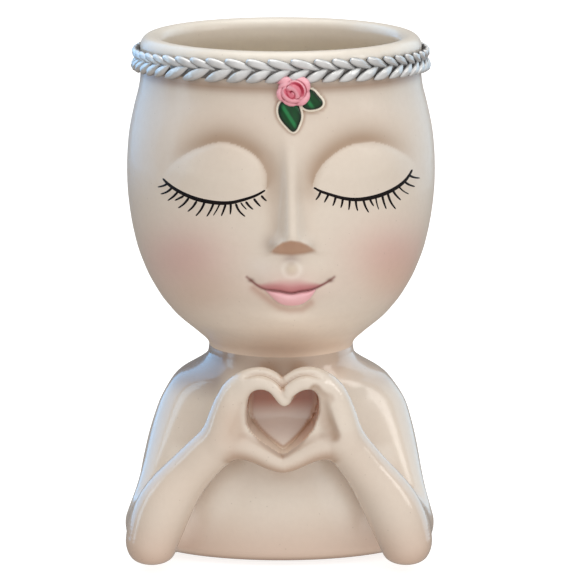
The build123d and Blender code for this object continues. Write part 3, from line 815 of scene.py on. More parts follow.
def bust_piece():
    V, F, N = nets(whole, (-64, -62, -2.4), (64, 46, 84), 0.8)
    hidden = (np.sqrt((V[:, 0] / 50) ** 2 + ((V[:, 1] - 2.2) / 32) ** 2) < 1) & (field(V) < -1.5)
    hidden |= V[:, 2] < 0.05
    me = bpy.data.meshes.new("bust_work")
    me.from_pydata(V.tolist(), [], F.tolist())
    o = bpy.data.objects.new("bust_work", me)
    scene.collection.objects.link(o)
    g = o.vertex_groups.new(name="hidden")
    g.add(np.nonzero(hidden)[0].tolist(), 1.0, "REPLACE")
    d = o.modifiers.new("thin", "DECIMATE")
    d.ratio = 0.70
    d.vertex_group = "hidden"
    d.vertex_group_factor = 10.0
    dg = bpy.context.evaluated_depsgraph_get()
    done = bpy.data.meshes.new_from_object(o.evaluated_get(dg))
    V = np.empty(len(done.vertices) * 3)
    done.vertices.foreach_get("co", V)
    V = V.reshape(-1, 3)
    F = [tuple(p.vertices) for p in done.polygons]
    bpy.data.objects.remove(o)
    bpy.data.meshes.remove(me)
    bpy.data.meshes.remove(done)
    N = gradient(whole, V, 0.04)
    N /= np.maximum(np.linalg.norm(N, axis=1), 1e-9)[:, None]
    print("bust", len(V), "points", len(F), "faces", sum(len(f) - 2 for f in F), "triangles")
    # painted shade: darker and warmer where the surface is hollow, in creases and recesses
    near = np.clip(field(V + N * 1.1) / 1.1, 0, 1)
    mid = np.clip(field(V + N * 4.5) / 4.5, 0, 1)
    far = np.clip(field(V + N * 10.0) / 10.0, 0, 1)
    col = np.tile(lin(226, 214, 199), (len(V), 1))

    def lay(w, c):
        nonlocal col
        w = np.clip(w, 0, 1)[:, None]
        col = col * (1 - w) + np.asarray(c) * w

    hx, hy, hz = V.T
    inner = polygon(hx, hz, HEART_2D[::2])
    gap = (hy > -51.5) & (hy < -28) & (inner < 1.4)
    open_ = 1 - 0.85 * gap
    lay(0.25 * (1 - far) * open_, lin(212, 186, 162))
    lay(0.50 * smooth((1 - mid) * 1.5) * open_, lin(192, 152, 120))
    finger = smooth((hz - 64.0) / 3.0) * (hy < -45)
    lay((0.85 - 0.50 * finger) * smooth((1 - near) * 1.8) * open_, lin(138, 90, 58))
    # browner on the hands and forearms; painted light on the belly up against them, with a painted-shade line where
    # they meet; painted shade under the thumbs and on the left hand
    thumbs = np.minimum(limb(V, THUMBS[0], 8), limb(V, THUMBS[1], 8))
    rods = np.minimum(rod(V, FOREARMS[0][0, :3], FOREARMS[0][2, :3], 10.4, 9.0), rod(V, FOREARMS[1][0, :3], FOREARMS[1][2, :3], 10.4, 9.0))
    arms = np.minimum(np.minimum(limb(V, FOREARMS[0], 40), limb(V, FOREARMS[1], 40)), thumbs)
    belly = smooth((-20.0 - hy) / 6.0) * smooth((47.0 - np.abs(hx)) / 5.0) * smooth((47.0 - hz) / 4.0)
    lay(0.75 * belly * smooth((18.0 - rods) / 13.0) * smooth((arms - 1.4) / 2.6), lin(246, 238, 226))
    lay(0.85 * belly * smooth((arms - 0.1) / 0.8) * smooth((3.1 - arms) / 2.3), lin(146, 110, 72))
    lay(0.26 * smooth((2.5 - arms) / 2.5) * smooth((74.0 - hz) / 10.0), lin(196, 170, 150))
    lay(0.65 * smooth((1.5 - thumbs) / 1.5) * smooth(-N[:, 2] + 0.25), lin(172, 134, 106))
    lay(0.50 * bump((hx + 19.0) / 6.5) * bump((hz - 59.0) / 9.0) * smooth((-42.0 - hy) / 5.0) * smooth((inner - 1.0) / 2.0), lin(188, 156, 132))
    # the heart: painted shade, brown under the fingers and down its right side; painted light, pale low on its walls
    # and back towards its point, with a pinker middle; a thin painted-shade line where wall meets back
    high = smooth((hz - 50.0) / 15.0)
    side = smooth((hx + 4.0) / 14.0)
    wall = smooth((inner + 2.4) / 1.2)
    lay(np.where(gap, 0.93 * wall * (1 - 0.6 * high), 0.0), lin(254, 240, 218))
    lay(np.where(gap, wall * (0.06 + 0.86 * np.maximum(smooth((hz - 60.0) / 8.0), 0.60 * side * smooth((hz - 44.0) / 11.0))), 0.0), lin(186, 104, 48))
    lay(np.where(gap, 0.9 * (1 - wall) * (1 - smooth((hz - 51.0) / 13.0)), 0.0), lin(254, 247, 234))
    lay(np.where(gap, 0.95 * (1 - wall) * smooth((hz - 57.5) / 8.5), 0.0), lin(166, 84, 34))
    lay(np.where(gap, 0.30 * (1 - wall) * bump((hz - 55.5) / 8.0), 0.0), lin(214, 192, 190))
    lay(np.where(gap, 0.60 * bump((inner + 1.7) / 0.55) * smooth((hy + 49.0) / 3.0), 0.0), lin(176, 122, 80))
    # darker, warm and slightly pink towards the foot; on the neck, painted light in the chin's shade, painted shade on
    # its left and a greyer tone on its right
    lay(0.62 * smooth((26.0 - hz) / 26.0) * smooth((38.0 - hy) / 20.0), lin(200, 164, 142))
    lay(neck_painted_light(hz) * smooth((hy + 44.0) / 10.0) * (1 - 0.80 * smooth((26.0 - hx) / 22.0)), lin(*NECK_PAINTED_LIGHT))
    lay(0.85 * smooth((hz - 60.0) / 12.0) * smooth((86.0 - hz) / 8.0) * smooth((hy + 44.0) / 8.0) * smooth((2.0 - hx) / 20.0) * smooth((inner - 6.0) / 8.0), lin(142, 128, 124))
    lay(0.35 * smooth((hz - 62.0) / 12.0) * smooth((86.0 - hz) / 8.0) * smooth((hy + 44.0) / 8.0) * smooth((hx - 8.0) / 14.0) * smooth((inner - 6.0) / 8.0), lin(194, 186, 176))
    # painted shade: brown at the top of the wall behind the fingers, under the chin, and in the folds of the hands
    lay(0.45 * smooth((hz - 70.0) / 6.0) * smooth((hy + 49.5) / 5.0) * smooth((27.0 - np.abs(hx - 0.9)) / 6.0), lin(158, 128, 106))
    for a in CREASES:
        d = limb(V, a, 8)
        lay(0.80 * smooth((1.3 - d) / 2.2) * (hy < -45), lin(146, 104, 70))
    # painted shade: the thin dark edge of the foot, where it meets the floor
    lay(0.70 * smooth((2.6 - hz) / 2.2), lin(140, 104, 80))
    return make("bust_and_hands", V, F, mat_glaze, stands_for=("torso_shell", "forearm_hand_left", "forearm_hand_right"), normals=N, attrs={"tint": col})


bust = bust_piece()

# ---------------------------------------------------------------------------
# Lashes: raised strokes of black glaze, laid on the head through the picture
# ---------------------------------------------------------------------------
def painted(name, attr_free_colour, rough, coat, clouds=70.0, amount=0.12, second=None, bump_depth=0.0002):
    """A fired-on colour: mottled between two near tones, with a fine uneven gloss."""
    m, nt, sh = new_material(name)
    a = lin(*attr_free_colour)
    b = lin(*(second or [c * 0.8 for c in attr_free_colour]))
    n1 = noise(nt, clouds, 4.0, 0.6)
    c = mix(nt, remap(nt, n1, 0.35, 0.65, 0.0, 1.0), tuple(a), tuple(a * (1 - amount) + b * amount))
    nt.links.new(c, sh.inputs["Base Color"])
    nt.links.new(remap(nt, noise(nt, clouds * 3, 2.0, 0.5), 0.3, 0.7, rough - 0.05, rough + 0.08), sh.inputs["Roughness"])
    sh.inputs["Coat Weight"].default_value = coat
    sh.inputs["Coat Roughness"].default_value = 0.12
    add_bump(nt, sh, noise(nt, 900.0, 2.0, 0.5), 0.25, bump_depth)
    return m


mat_lash = painted("lash_paint_mat", (14, 9, 10), 0.45, 0.0, 300.0, 0.5, (34, 24, 24), 0.00006)
mat_lash.node_tree.nodes["Principled BSDF"].inputs["Specular IOR Level"].default_value = 0.10

tree = BVHTree.FromPolygons([Vector(v) for v in head_v], [tuple(int(i) for i in f) for f in head_f])
EYE_POINT = Vector((0.0, -CAM_D, CAM_Z))


def on_head(X, Y):
    """The point of the glazed head seen at a picture point, and the normal there."""
    hit, nor, _, _ = tree.ray_cast(EYE_POINT, ray(X, Y))
    if nor.dot(ray(X, Y)) > 0:
        nor = -nor
    return np.array(hit), np.array(nor)


def strokes(name, lines):
    """Raised strokes from picture points (X, Y, width in px), in one mesh."""
    V, F = [], []
    for line in lines:
        line = np.asarray(line, float)
        n = max(4, int(np.linalg.norm(np.diff(line[:, :2], axis=0), axis=1).sum() / 1.1))
        Q = spline(line, n) if len(line) > 2 else line[0] + (line[1] - line[0]) * np.linspace(0, 1, n)[:, None]
        T = np.gradient(Q[:, :2], axis=0)
        T /= np.linalg.norm(T, axis=1)[:, None]
        start = len(V)
        for i in range(n):
            x, y, w = Q[i]
            px_, py_ = -T[i, 1], T[i, 0]
            cap = min(1.0, 0.45 + 0.55 * min(i, n - 1 - i) / 1.0)
            w = w * cap
            pts = []
            for k in (-0.5, -0.28, 0.0, 0.28, 0.5):
                p, q = on_head(x + px_ * w * k, y + py_ * w * k)
                up = 0.02 + 0.20 * min(1.0, w / 3.0) * (1 - (2 * k) ** 2)
                pts.append(p + q * up)
            mid, q = on_head(x, y)
            pts.append(mid - q * 0.15)
            V.extend(pts)
            if i:
                a, b = start + (i - 1) * 6, start + i * 6
                for k in range(6):
                    F.append((a + k, a + (k + 1) % 6, b + (k + 1) % 6, b + k))
        F.append(tuple(start + k for k in range(5, -1, -1)))
        e = start + (n - 1) * 6
        F.append(tuple(e + k for k in range(6)))
    return make(name, V, F, mat_lash)


LASHES_L = [((168, 183.5), (164, 185.6), (158, 187)), ((172, 188), (167, 192), (161, 194)), ((178, 192), (173, 197), (168, 200.5)), ((184, 196), (180, 198), (175, 200.5)), ((189, 198), (184, 204), (178.5, 208)), ((197, 201), (193, 207), (188, 211.5)), ((205, 202), (201, 210), (196, 216)), ((214, 203), (211, 210), (207, 216.5)), ((220, 204), (217, 210), (213.5, 215.5)), ((226, 204), (224, 210), (221.5, 216)), ((231, 203.5), (231, 209), (230.5, 214.5)), ((236, 203.5), (239.5, 211), (245.5, 216.5)), ((241, 202.5), (244, 206.5), (247, 209.5)), ((246, 201.5), (249.5, 206), (253.5, 209.5)), ((254, 198.5), (257.5, 203), (261, 206.5)), ((261.5, 195.5), (264, 198.5), (267, 201))]
LASHES_R = [((321, 191.5), (319, 196), (316, 200)), ((329, 194), (327, 198), (324.5, 202.5)), ((336, 196.5), (335, 201), (333, 206)), ((343, 198.5), (342.5, 203), (341, 208)), ((350, 199.5), (349.8, 204), (349, 210)), ((356, 199.8), (356.5, 205), (358, 211)), ((363.5, 199), (365.5, 206), (369, 212.5)), ((370, 198), (371.5, 202), (374, 206)), ((376, 197), (377, 203), (379, 209.5)), ((382.5, 195.5), (384, 202), (386.5, 209)), ((388, 193.5), (391, 202), (396, 209)), ((393, 190.5), (396.5, 195.5), (401, 200)), ((399, 186.5), (403.5, 191), (409, 194)), ((404, 181), (409, 184.5), (415, 186.5)), ((409, 175), (414, 177.3), (420, 178))]


def lash_lines(lashes):
    thin = {8, 12}
    return [[(*p, w) for p, w in zip(l, (2.5, 2.1, 1.3) if i not in thin else (1.8, 1.4, 1.0))] for i, l in enumerate(lashes)]


lid_line_l = [(163, 178.5, 1.8), (169, 184.5, 3.0), (176, 189.5, 3.4), (184, 193.9, 3.7), (195.5, 198.6, 4.0), (208, 201.6, 4.0), (222, 203.1, 3.8), (233, 202.4, 3.4), (241, 200.5, 3.1), (249.5, 198, 2.8), (258, 194.6, 2.5), (265.5, 190.2, 1.8)]
lid_line_r = [(314, 187.4, 1.8), (320, 190.8, 2.5), (330, 194.4, 2.9), (340, 197.4, 3.2), (350, 199.2, 3.5), (360, 199.4, 3.8), (370, 198, 4.0), (380, 195.4, 4.0), (390, 191.3, 3.8), (400, 185.3, 3.4), (407.5, 178, 2.8), (412.5, 169.5, 1.8)]
strokes("lashes_left", [lid_line_l] + lash_lines(LASHES_L))
strokes("lashes_right", [lid_line_r] + lash_lines(LASHES_R))

# ---------------------------------------------------------------------------
# Braid: two rows of laid-over strands all the way round, on a dark ground
# ---------------------------------------------------------------------------
def braid_piece():
    m, nt, sh = new_material("silver_lustre_mat")
    a = node(nt, "ShaderNodeAttribute", _attribute_name="tint")
    brushed = noise(nt, 260.0, 4.0, 0.65)
    c = mix(nt, remap(nt, brushed, 0.35, 0.7, 0.0, 0.22), a.outputs["Color"], tuple(lin(150, 148, 146)))
    nt.links.new(c, sh.inputs["Base Color"])
    sh.inputs["Metallic"].default_value = 0.45
    nt.links.new(remap(nt, noise(nt, 700.0, 3.0, 0.6), 0.3, 0.7, 0.30, 0.46), sh.inputs["Roughness"])
    sh.inputs["Coat Weight"].default_value = 0.25
    sh.inputs["Coat Roughness"].default_value = 0.2
    add_bump(nt, sh, noise(nt, 1100.0, 3.0, 0.6), 0.35, 0.00008)

    R0 = 56.6

    def mid_z(phi):
        return 195.9 + 2.7 * max(math.cos(phi), 0.0) ** 1.2

    def phi_of(X):
        return math.asin(max(-0.999, min(0.999, (X - IMG_X) * 0.3862 / R0)))

    front_up = [136, 146, 156.5, 168, 181, 196, 211.5, 230.5, 251, 272, 294, 317, 334.5, 351.5, 368.5, 384.5, 399, 411, 420]
    front_low = [141, 154, 168.5, 187, 209.5, 231, 250, 269, 288, 306.5, 324.5, 341, 357.5, 375, 390, 404, 415]

    def all_round(front):
        ph = [phi_of(X) for X in front if 160 < X < 395]
        gap = 2 * math.pi - (ph[-1] - ph[0])
        n = int(round(gap * R0 / 6.6))
        return ph + [ph[-1] + gap * (i + 1) / n for i in range(n - 1)]

    V, F, C, D = [], [], [], []

    def path(u, upper, pitch):
        """Place of a strand's centre line: along the band, and above its middle."""
        if upper:
            return -1.3 + (pitch + 4.6) * u, 3.75 - 4.75 * u**0.92 + 0.35 * math.sin(math.pi * u)
        return -1.2 + (pitch + 2.9) * u, -4.35 + 5.05 * u**0.95 - 0.35 * math.sin(math.pi * u)

    def strand(phi0, phi_next, upper):
        pitch = (phi_next - phi0) * R0
        n, k = 19, 14
        s0 = phi0 * R0
        start = len(V)
        wide = (0.235 if upper else 0.270) * min(max(pitch, 4.4), 7.6)
        for i in range(n):
            u = i / (n - 1)
            along, over = path(u, upper, pitch)
            s, z = s0 + along, mid_z((s0 + along) / R0) + over
            if upper:
                shape = max(math.sin(math.pi * (0.03 + 0.95 * u) ** 0.66), 0.0) ** 0.75
                rho = R0 + 1.05 - 1.8 * u**1.4
            else:
                shape = max(math.sin(math.pi * (0.02 + 0.955 * u) ** 0.90), 0.0) ** 0.85
                rho = R0 + 1.15 - 2.0 * max(u - 0.45, 0) - 1.0 * max(0.35 - u, 0)
            w = wide * shape
            h = 1.55 * shape**0.8
            w, h = max(w, 0.12), max(h, 0.12)
            e = 1e-3
            a1, o1 = path(u + e, upper, pitch)
            ds, dz = (a1 - along) / e, (o1 - over) / e
            t = math.hypot(ds, dz)
            ns, nz = -dz / t, ds / t
            for j in range(k):
                a_ = 2 * math.pi * j / k
                across, out = w * math.cos(a_), h * math.sin(a_)
                out += 0.26 * math.cos(5 * a_ + 6 * u) * (h / 1.55)
                ss, zz, rr = s + ns * across, z + nz * across, rho + out
                p = ss / R0
                V.append((rr * math.sin(p), -rr * math.cos(p), zz))
                # painted light and shade on each strand: lighter on its raised top and on one side, darker down its
                # flanks, and darker towards the tail of an upper strand
                high = (out / max(h, 0.3) + 0.30) / 0.8
                down = 0.5 + 0.5 * math.cos(a_)
                tone = float(smooth(high)) * (0.70 + 0.30 * down)
                if upper:
                    tone *= 1 - 0.30 * max(u - 0.5, 0)
                tone **= 1.35
                C.append(lin(72, 70, 70) * (1 - tone) + lin(230, 230, 229) * tone)
            if i:
                p0, p1 = start + (i - 1) * k, start + i * k
                for j in range(k):
                    F.append((p0 + j, p0 + (j + 1) % k, p1 + (j + 1) % k, p1 + j))
        F.append(tuple(start + j for j in range(k - 1, -1, -1)))
        last = start + (n - 1) * k
        F.append(tuple(last + j for j in range(k)))

    for upper, front in ((False, front_low), (True, front_up)):
        ph = all_round(front)
        for i, p in enumerate(ph):
            q = ph[i + 1] if i + 1 < len(ph) else ph[0] + 2 * math.pi
            strand(p, q, upper)
    # the ground behind the strands
    n, k = 240, 12
    start = len(V)
    for i in range(n):
        p = 2 * math.pi * i / n
        for j in range(k):
            a_ = 2 * math.pi * j / k
            rr = 55.9 + 1.0 * math.cos(a_)
            zz = mid_z(p if p < math.pi else p - 2 * math.pi) - 0.5 + 3.2 * math.sin(a_)
            V.append((rr * math.sin(p), -rr * math.cos(p), zz))
            C.append(lin(122, 118, 115))
    F += [tuple(f) for f in grid_faces(n, k, closed_u=True, closed_v=True, start=start)[:, ::-1]]
    return make("braid_strands", V, F, m, stands_for=("braid_band",), attrs={"tint": np.array(C)})


braid = braid_piece()

# ---------------------------------------------------------------------------
# Rose and leaves, modelled as fields and meshed the same way as the bust
# ---------------------------------------------------------------------------
def wall_gap(P):
    """How far a place stands off the pot's wall."""
    return np.hypot(P[:, 0], P[:, 1]) - np.interp(P[:, 2], OUT_Z, OUT_R)


ROSE_OUTER = [
    (px3([(279.4, 81.2, -56.8, 1.1), (283, 80.8, -57.4, 1.6), (288.5, 81.4, -57.8, 1.7), (293, 83.4, -57.6, 1.3)]), 12),
    (px3([(282.6, 87.0, -57.2, 1.6), (286.6, 85.0, -57.8, 2.0), (291.0, 85.6, -58.0, 1.8)]), 10),
    (px3([(294.5, 82.2, -57.0, 1.3), (299.0, 81.4, -57.6, 1.9), (303.6, 82.4, -57.8, 2.0), (305.8, 86.4, -57.6, 1.9), (305.6, 90.4, -57.2, 1.4)]), 14),
    (px3([(306.2, 92.6, -57.0, 1.5), (305.0, 96.8, -57.8, 2.0), (301.6, 100.4, -57.8, 2.0), (297.6, 102.0, -57.4, 1.4)]), 13),
    (px3([(296.0, 103.2, -57.2, 1.2), (291.8, 102.2, -58.0, 1.7), (287.6, 100.6, -58.0, 1.7), (284.4, 98.6, -57.4, 1.3)]), 11),
    (px3([(284.4, 98.4, -57.2, 1.3), (281.6, 95.6, -58.0, 1.7), (281.4, 92.0, -58.0, 1.7), (283.6, 89.2, -57.4, 1.3)]), 11),
]
ROSE_INNER = [
    (px3([(289, 85.4, -58.8, 1.2), (294.5, 84.4, -59.6, 1.6), (299.6, 86.6, -59.9, 1.7), (302.0, 91, -59.8, 1.6), (300.6, 96.4, -59.3, 1.3)]), 14),
    (px3([(299.6, 99.4, -58.7, 1.1), (294.0, 99.2, -59.5, 1.5), (288.6, 97.2, -59.7, 1.6), (285.6, 92.6, -59.5, 1.5), (287.0, 88.4, -59.0, 1.1)]), 14),
]
ROSE_BUD = [
    (px3([(288.6, 89.8, -60.0, 1.0), (292.4, 87.6, -60.7, 1.3), (296.8, 89.6, -61.0, 1.45), (298.2, 93.8, -60.7, 1.3), (296.0, 97.0, -60.1, 0.9)]), 14),
    (px3([(289.4, 93.2, -60.1, 1.0), (291.6, 95.6, -60.4, 1.15), (293.6, 93.4, -60.6, 1.0)]), 9),
]


ROSE_HOLLOWS = [
    px3([(291.5, 83.6, -61.4, 0.8), (296.5, 85.2, -61.6, 1.15), (300.4, 89.4, -61.6, 1.25), (302.4, 95.0, -61.2, 0.8)]),
    px3([(285.6, 90.2, -61.0, 0.7), (289.0, 94.0, -61.5, 1.0), (293.4, 97.4, -61.4, 0.7)]),
]


def ell(P, c, r):
    q = (P - np.asarray(c)) / np.asarray(r)
    k0 = np.sqrt((q * q).sum(1))
    k1 = np.sqrt(((q / np.asarray(r)) ** 2).sum(1)) + 1e-9
    return k0 * (k0 - 1) / k1


ROSE_C = at_y(293, 92, -56.0)


def petals_field(P):
    f = ell(P, ROSE_C, (5.4, 2.4, 4.7))
    for a, n in ROSE_OUTER:
        f = smin(f, limb(P, a, n), 0.35)
    g = ell(P, (ROSE_C[0], -57.6, ROSE_C[2]), (3.4, 2.0, 3.1))
    for a, n in ROSE_INNER:
        g = smin(g, limb(P, a, n), 0.3)
    f = smin(f, g, 0.3)
    for a in ROSE_HOLLOWS:
        f = smax(f, -limb(P, a, 10), 0.5)
    return f


def bud_field(P):
    f = ell(P, (ROSE_C[0], -59.2, ROSE_C[2] + 0.1), (1.7, 1.7, 1.6))
    for a, n in ROSE_BUD:
        f = smin(f, limb(P, a, n), 0.22)
    return f


def rose_colour(V, N, fun):
    # painted light and shade: paler where a petal faces up and forward, deeper pink and crimson in creases and in the
    # hollows
    near = np.clip(fun(V + N * 0.6) / 0.6, 0, 1)
    mid = np.clip(fun(V + N * 1.6) / 1.6, 0, 1)
    c = np.tile(lin(246, 172, 184), (len(V), 1))
    up = smooth((N[:, 2] * 0.7 - N[:, 1] * 0.5) * 0.9)[:, None]
    c = c * (1 - 0.55 * up) + lin(255, 208, 214) * 0.55 * up
    w = np.clip(0.80 * smooth((1 - mid) * 1.3), 0, 1)[:, None]
    c = c * (1 - w) + lin(216, 98, 118) * w
    w = np.clip(1.0 * smooth((1 - near) * 1.9), 0, 1)[:, None]
    c = c * (1 - w) + lin(150, 30, 50) * w
    for a in ROSE_HOLLOWS:
        w = (0.75 * smooth((0.75 - limb(V, a, 10)) / 0.9))[:, None]
        c = c * (1 - w) + lin(206, 70, 96) * w
    return c


def rose_pieces():
    m, nt, sh = new_material("rose_glaze_mat")
    a = node(nt, "ShaderNodeAttribute", _attribute_name="tint")
    n1 = noise(nt, 520.0, 4.0, 0.6)
    c = mix(nt, remap(nt, n1, 0.35, 0.7, 0.0, 0.28), a.outputs["Color"], tuple(lin(214, 120, 138)))
    nt.links.new(c, sh.inputs["Base Color"])
    nt.links.new(remap(nt, n1, 0.3, 0.7, 0.34, 0.5), sh.inputs["Roughness"])
    sh.inputs["Coat Weight"].default_value = 0.2
    sh.inputs["Coat Roughness"].default_value = 0.2
    add_bump(nt, sh, noise(nt, 1300.0, 3.0, 0.6), 0.4, 0.0001)

    def both(P):
        return np.minimum(petals_field(P), bud_field(P))

    lo, hi = (ROSE_C[0] - 8, -63.5, ROSE_C[2] - 8), (ROSE_C[0] + 8, -52.5, ROSE_C[2] + 8)
    out = []
    for name, fun, old in (("rose_outer_petals", petals_field, "rose_petals"), ("rose_inner_bud", bud_field, "rose_bud")):
        V, F, N = nets(fun, lo, hi, 0.24, 4, 0.5)
        out.append(make(name, V, F, m, stands_for=(old,), normals=N, attrs={"tint": rose_colour(V, N, both)}))
    return out


rose = rose_pieces()


def leaf_piece(name, old, loop_px, rib, y, lift):
    """A raised leaf: a green pool of glaze inside a thin cream edge, with a shallow midrib."""
    loop = px(spline(loop_px + loop_px[:1], 60)[:-1], y)
    rib2 = px(spline(rib, 10), y)

    def fun(P):
        d = polygon(P[:, 0], P[:, 2], loop)
        w = wall_gap(P)
        rim = round_max(d - 0.78, np.maximum(w - 1.25 - 0.3 * lift, -1.2 - w), 0.55)
        crown = np.clip(-d / 3.2, 0, 1)
        top = 1.35 + lift + 1.05 * np.sqrt(np.clip(1 - (1 - crown) ** 2, 0, 1))
        dr, _ = line_dist(P[:, 0], P[:, 2], rib2)
        top = top - 0.10 * bump(dr / 0.9) + 0.22 * np.sin(P[:, 0] * 1.15 + P[:, 2] * 0.75) * np.clip(-d / 2.0, 0, 1)
        pool = round_max(d + 0.05, np.maximum((w - top) * 0.8, -1.0 - w), 0.5)
        return smin(rim, pool, 0.12)

    lo = np.array([loop[:, 0].min() - 2, -62.5, loop[:, 1].min() - 2])
    hi = np.array([loop[:, 0].max() + 2, -50.5, loop[:, 1].max() + 2])
    V, F, N = nets(fun, lo, hi, 0.24, 4, 0.6)
    d = polygon(V[:, 0], V[:, 2], loop)
    green = smooth((-d + 0.06) / 0.22) * smooth((wall_gap(V) - 0.6) / 0.25)
    dr, _ = line_dist(V[:, 0], V[:, 2], rib2)
    deep = lin(0, 34, 12)
    body = lin(0, 70, 27)
    k = smooth((-d - 0.1) / 2.0)[:, None]
    g = deep * (1 - k) + body * k
    g = g * (1 - 0.20 * bump(dr / 0.6))[:, None]
    thin = 0.55 * bump((np.sin(V[:, 0] * 1.15 + V[:, 2] * 0.75) - 1) / 0.45)[:, None] * k
    g = g * (1 - thin) + lin(40, 150, 84) * thin
    col = lin(242, 232, 214) * (1 - green[:, None]) + g * green[:, None]
    return make(name, V, F, mat_leaf, stands_for=(old,), normals=N, attrs={"tint": col})


mat_leaf, nt, sh = new_material("leaf_glaze_mat")
a = node(nt, "ShaderNodeAttribute", _attribute_name="tint")
veins = noise(nt, 330.0, 4.0, 0.6)
c = mix(nt, remap(nt, veins, 0.35, 0.7, 0.0, 0.35), a.outputs["Color"], tuple(lin(6, 60, 30)), "MULTIPLY")
nt.links.new(mix(nt, remap(nt, veins, 0.4, 0.6, 0.0, 0.22), a.outputs["Color"], c), sh.inputs["Base Color"])
nt.links.new(remap(nt, veins, 0.3, 0.7, 0.08, 0.16), sh.inputs["Roughness"])
sh.inputs["Specular IOR Level"].default_value = 0.22
sh.inputs["Coat Weight"].default_value = 0.15
sh.inputs["Coat Roughness"].default_value = 0.05
add_bump(nt, sh, noise(nt, 260.0, 1.0, 0.5), 0.35, 0.0006)

leaf_piece("leaf_down", "leaf_lower", LEAF_DOWN, [(291, 104), (291.5, 113), (293.5, 124), (294.2, 129)], -57.6, 0.5)
leaf_piece("leaf_side_right", "leaf_side", LEAF_SIDE, [(305, 98), (311, 100.5), (317, 103.5), (321.5, 105)], -56.4, 0.5)

# ---------------------------------------------------------------------------
# Underside: the CAD's own plate, plug and pads, with their finishes
# ---------------------------------------------------------------------------
mat_bisque = painted("bisque_mat", (224, 214, 200), 0.78, 0.0, 90.0, 0.5, (204, 190, 172), 0.0005)
mat_rubber = painted("plug_rubber_mat", (52, 52, 54), 0.62, 0.0, 160.0, 0.4, (70, 70, 70), 0.0003)
mat_pad = painted("pad_rubber_mat", (176, 176, 172), 0.55, 0.0, 160.0, 0.4, (156, 156, 152), 0.0003)
for key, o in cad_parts.items():
    if key == "base_plate":
        o.data.materials.clear()
        o.data.materials.append(mat_bisque)
    elif key == "drain_plug":
        o.data.materials.clear()
        o.data.materials.append(mat_rubber)
    elif key.startswith("foot_pad"):
        o.data.materials.clear()
        o.data.materials.append(mat_pad)

# ---------------------------------------------------------------------------
# Camera, floor and light
# ---------------------------------------------------------------------------
cam = bpy.data.cameras.new("camera")
cam_o = bpy.data.objects.new("camera", cam)
scene.collection.objects.link(cam_o)
cam.sensor_width = 36.0
cam.lens = FOCAL * 36.0 / 576
cam.clip_start, cam.clip_end = 0.1, 20
cam_o.location = ((288 - IMG_X) * 0.4 / 1000, (AXIS_Y - CAM_D) / 1000, (CAM_Z + PAD_H) / 1000)
cam_o.rotation_euler = (math.pi / 2 - PITCH, 0, 0)
scene.camera = cam_o


def stage_mesh(name, verts, faces, material):
    me = bpy.data.meshes.new(name)
    me.from_pydata(verts, [], faces)
    me.update()
    me.polygons.foreach_set("use_smooth", [True] * len(me.polygons))
    me.materials.append(material)
    o = bpy.data.objects.new(name, me)
    scene.collection.objects.link(o)
    return o


mat_floor, nt, sh = new_material("floor_mat")
sh.inputs["Base Color"].default_value = (0.55, 0.55, 0.55, 1)
sh.inputs["Roughness"].default_value = 0.9
sh.inputs["Specular IOR Level"].default_value = 0.0
sh.inputs["Emission Color"].default_value = (1, 1, 1, 1)
sh.inputs["Emission Strength"].default_value = 0.80
floor = stage_mesh("floor", [(-6, -6, 0), (6, -6, 0), (6, 6, 0), (-6, 6, 0)], [(0, 1, 2, 3)], mat_floor)
floor.visible_diffuse = False
floor.visible_glossy = False

# The room: brightest towards the front right, dimmer below and behind, and white where the camera looks past the object
FRONT = Vector((0.30, -0.95, 0.03)).normalized()
world = bpy.data.worlds.new("studio")
scene.world = world
world.use_nodes = True
wt = world.node_tree
wt.nodes.clear()
w_out = wt.nodes.new("ShaderNodeOutputWorld")
w_room = wt.nodes.new("ShaderNodeBackground")
w_back = wt.nodes.new("ShaderNodeBackground")
w_mix = wt.nodes.new("ShaderNodeMixShader")
w_path = wt.nodes.new("ShaderNodeLightPath")
w_tc = wt.nodes.new("ShaderNodeTexCoord")
w_sep = wt.nodes.new("ShaderNodeSeparateXYZ")
w_ramp = wt.nodes.new("ShaderNodeValToRGB")
w_dot = wt.nodes.new("ShaderNodeVectorMath")
w_dot.operation = "DOT_PRODUCT"
w_dot.inputs[1].default_value = FRONT
wt.links.new(w_tc.outputs["Generated"], w_sep.inputs[0])
wt.links.new(w_tc.outputs["Generated"], w_dot.inputs[0])
wt.links.new(remap(wt, w_sep.outputs["Z"], -1.0, 1.0, 0.0, 1.0), w_ramp.inputs["Fac"])
e = w_ramp.color_ramp.elements
e[0].position, e[0].color = 0.0, (0.56, 0.50, 0.45, 1)
e[1].position, e[1].color = 1.0, (1.60, 1.58, 1.54, 1)
for where, c in ((0.45, (0.27, 0.262, 0.255, 1)), (0.60, (0.26, 0.265, 0.275, 1)), (0.85, (0.60, 0.60, 0.60, 1))):
    k = w_ramp.color_ramp.elements.new(where)
    k.color = c
w_add = wt.nodes.new("ShaderNodeMix")
w_add.data_type = "RGBA"
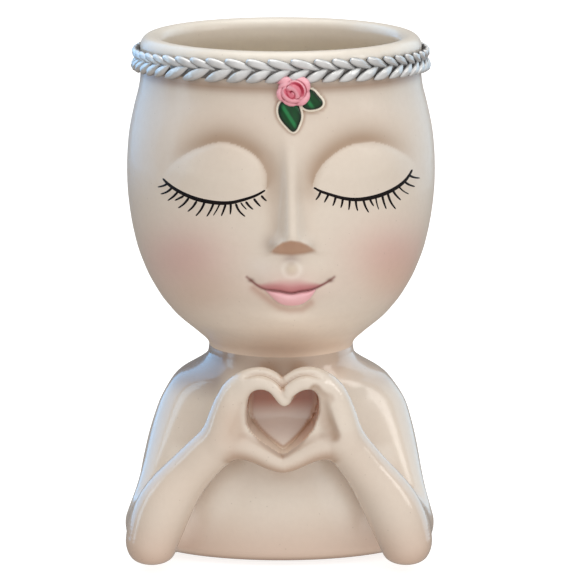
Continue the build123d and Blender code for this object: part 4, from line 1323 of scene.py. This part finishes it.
w_add.blend_type = "ADD"
w_add.inputs[0].default_value = 1.0
wt.links.new(w_ramp.outputs["Color"], w_add.inputs[6])
wt.links.new(mix(wt, remap(wt, w_dot.outputs["Value"], 0.0, 1.0, 0.0, 1.0), (0.0, 0.0, 0.0), (0.865, 0.855, 0.85)), w_add.inputs[7])
wt.links.new(w_add.outputs[2], w_room.inputs["Color"])
w_room.inputs["Strength"].default_value = 1.0
w_back.inputs["Color"].default_value = (1, 1, 1, 1)
w_back.inputs["Strength"].default_value = 1.0
wt.links.new(w_path.outputs["Is Camera Ray"], w_mix.inputs["Fac"])
wt.links.new(w_room.outputs["Background"], w_mix.inputs[1])
wt.links.new(w_back.outputs["Background"], w_mix.inputs[2])
wt.links.new(w_mix.outputs["Shader"], w_out.inputs["Surface"])


def softbox(name, where, aim, w, h, power, colour=(1, 1, 1)):
    l = bpy.data.lights.new(name, "AREA")
    l.shape = "RECTANGLE"
    l.size, l.size_y = w, h
    l.energy = power
    l.color = colour
    o = bpy.data.objects.new(name, l)
    scene.collection.objects.link(o)
    o.location = where
    o.rotation_mode = "QUATERNION"
    o.rotation_quaternion = (Vector(aim) - Vector(where)).to_track_quat("-Z", "Y")
    # the panels show as reflections; the even light comes from the room itself
    o.visible_diffuse = False
    return o


softbox("overhead", (0.0, 0.10, 1.55), (0, 0, 0.12), 1.1, 1.1, 5.2, (1.0, 0.985, 0.96))
softbox("left_window", (-0.985, 0.77, 0.66), (0, 0, 0.12), 1.35, 1.6, 14.4, (0.26, 0.59, 1.0))
softbox("left_strip", (-1.12, -0.08, 0.36), (0, 0, 0.08), 0.26, 0.9, 2.3, (0.46, 0.74, 1.0))
softbox("right_panel", (0.985, 0.77, 0.42), (0, 0, 0.12), 1.30, 1.1, 6.0, (0.56, 0.80, 1.0))
softbox("right_strip", (1.12, -0.30, 0.76), (0, 0, 0.08), 0.36, 0.6, 2.2, (1.0, 0.99, 0.97))

scene.view_settings.view_transform = "Standard"
scene.view_settings.look = "None"
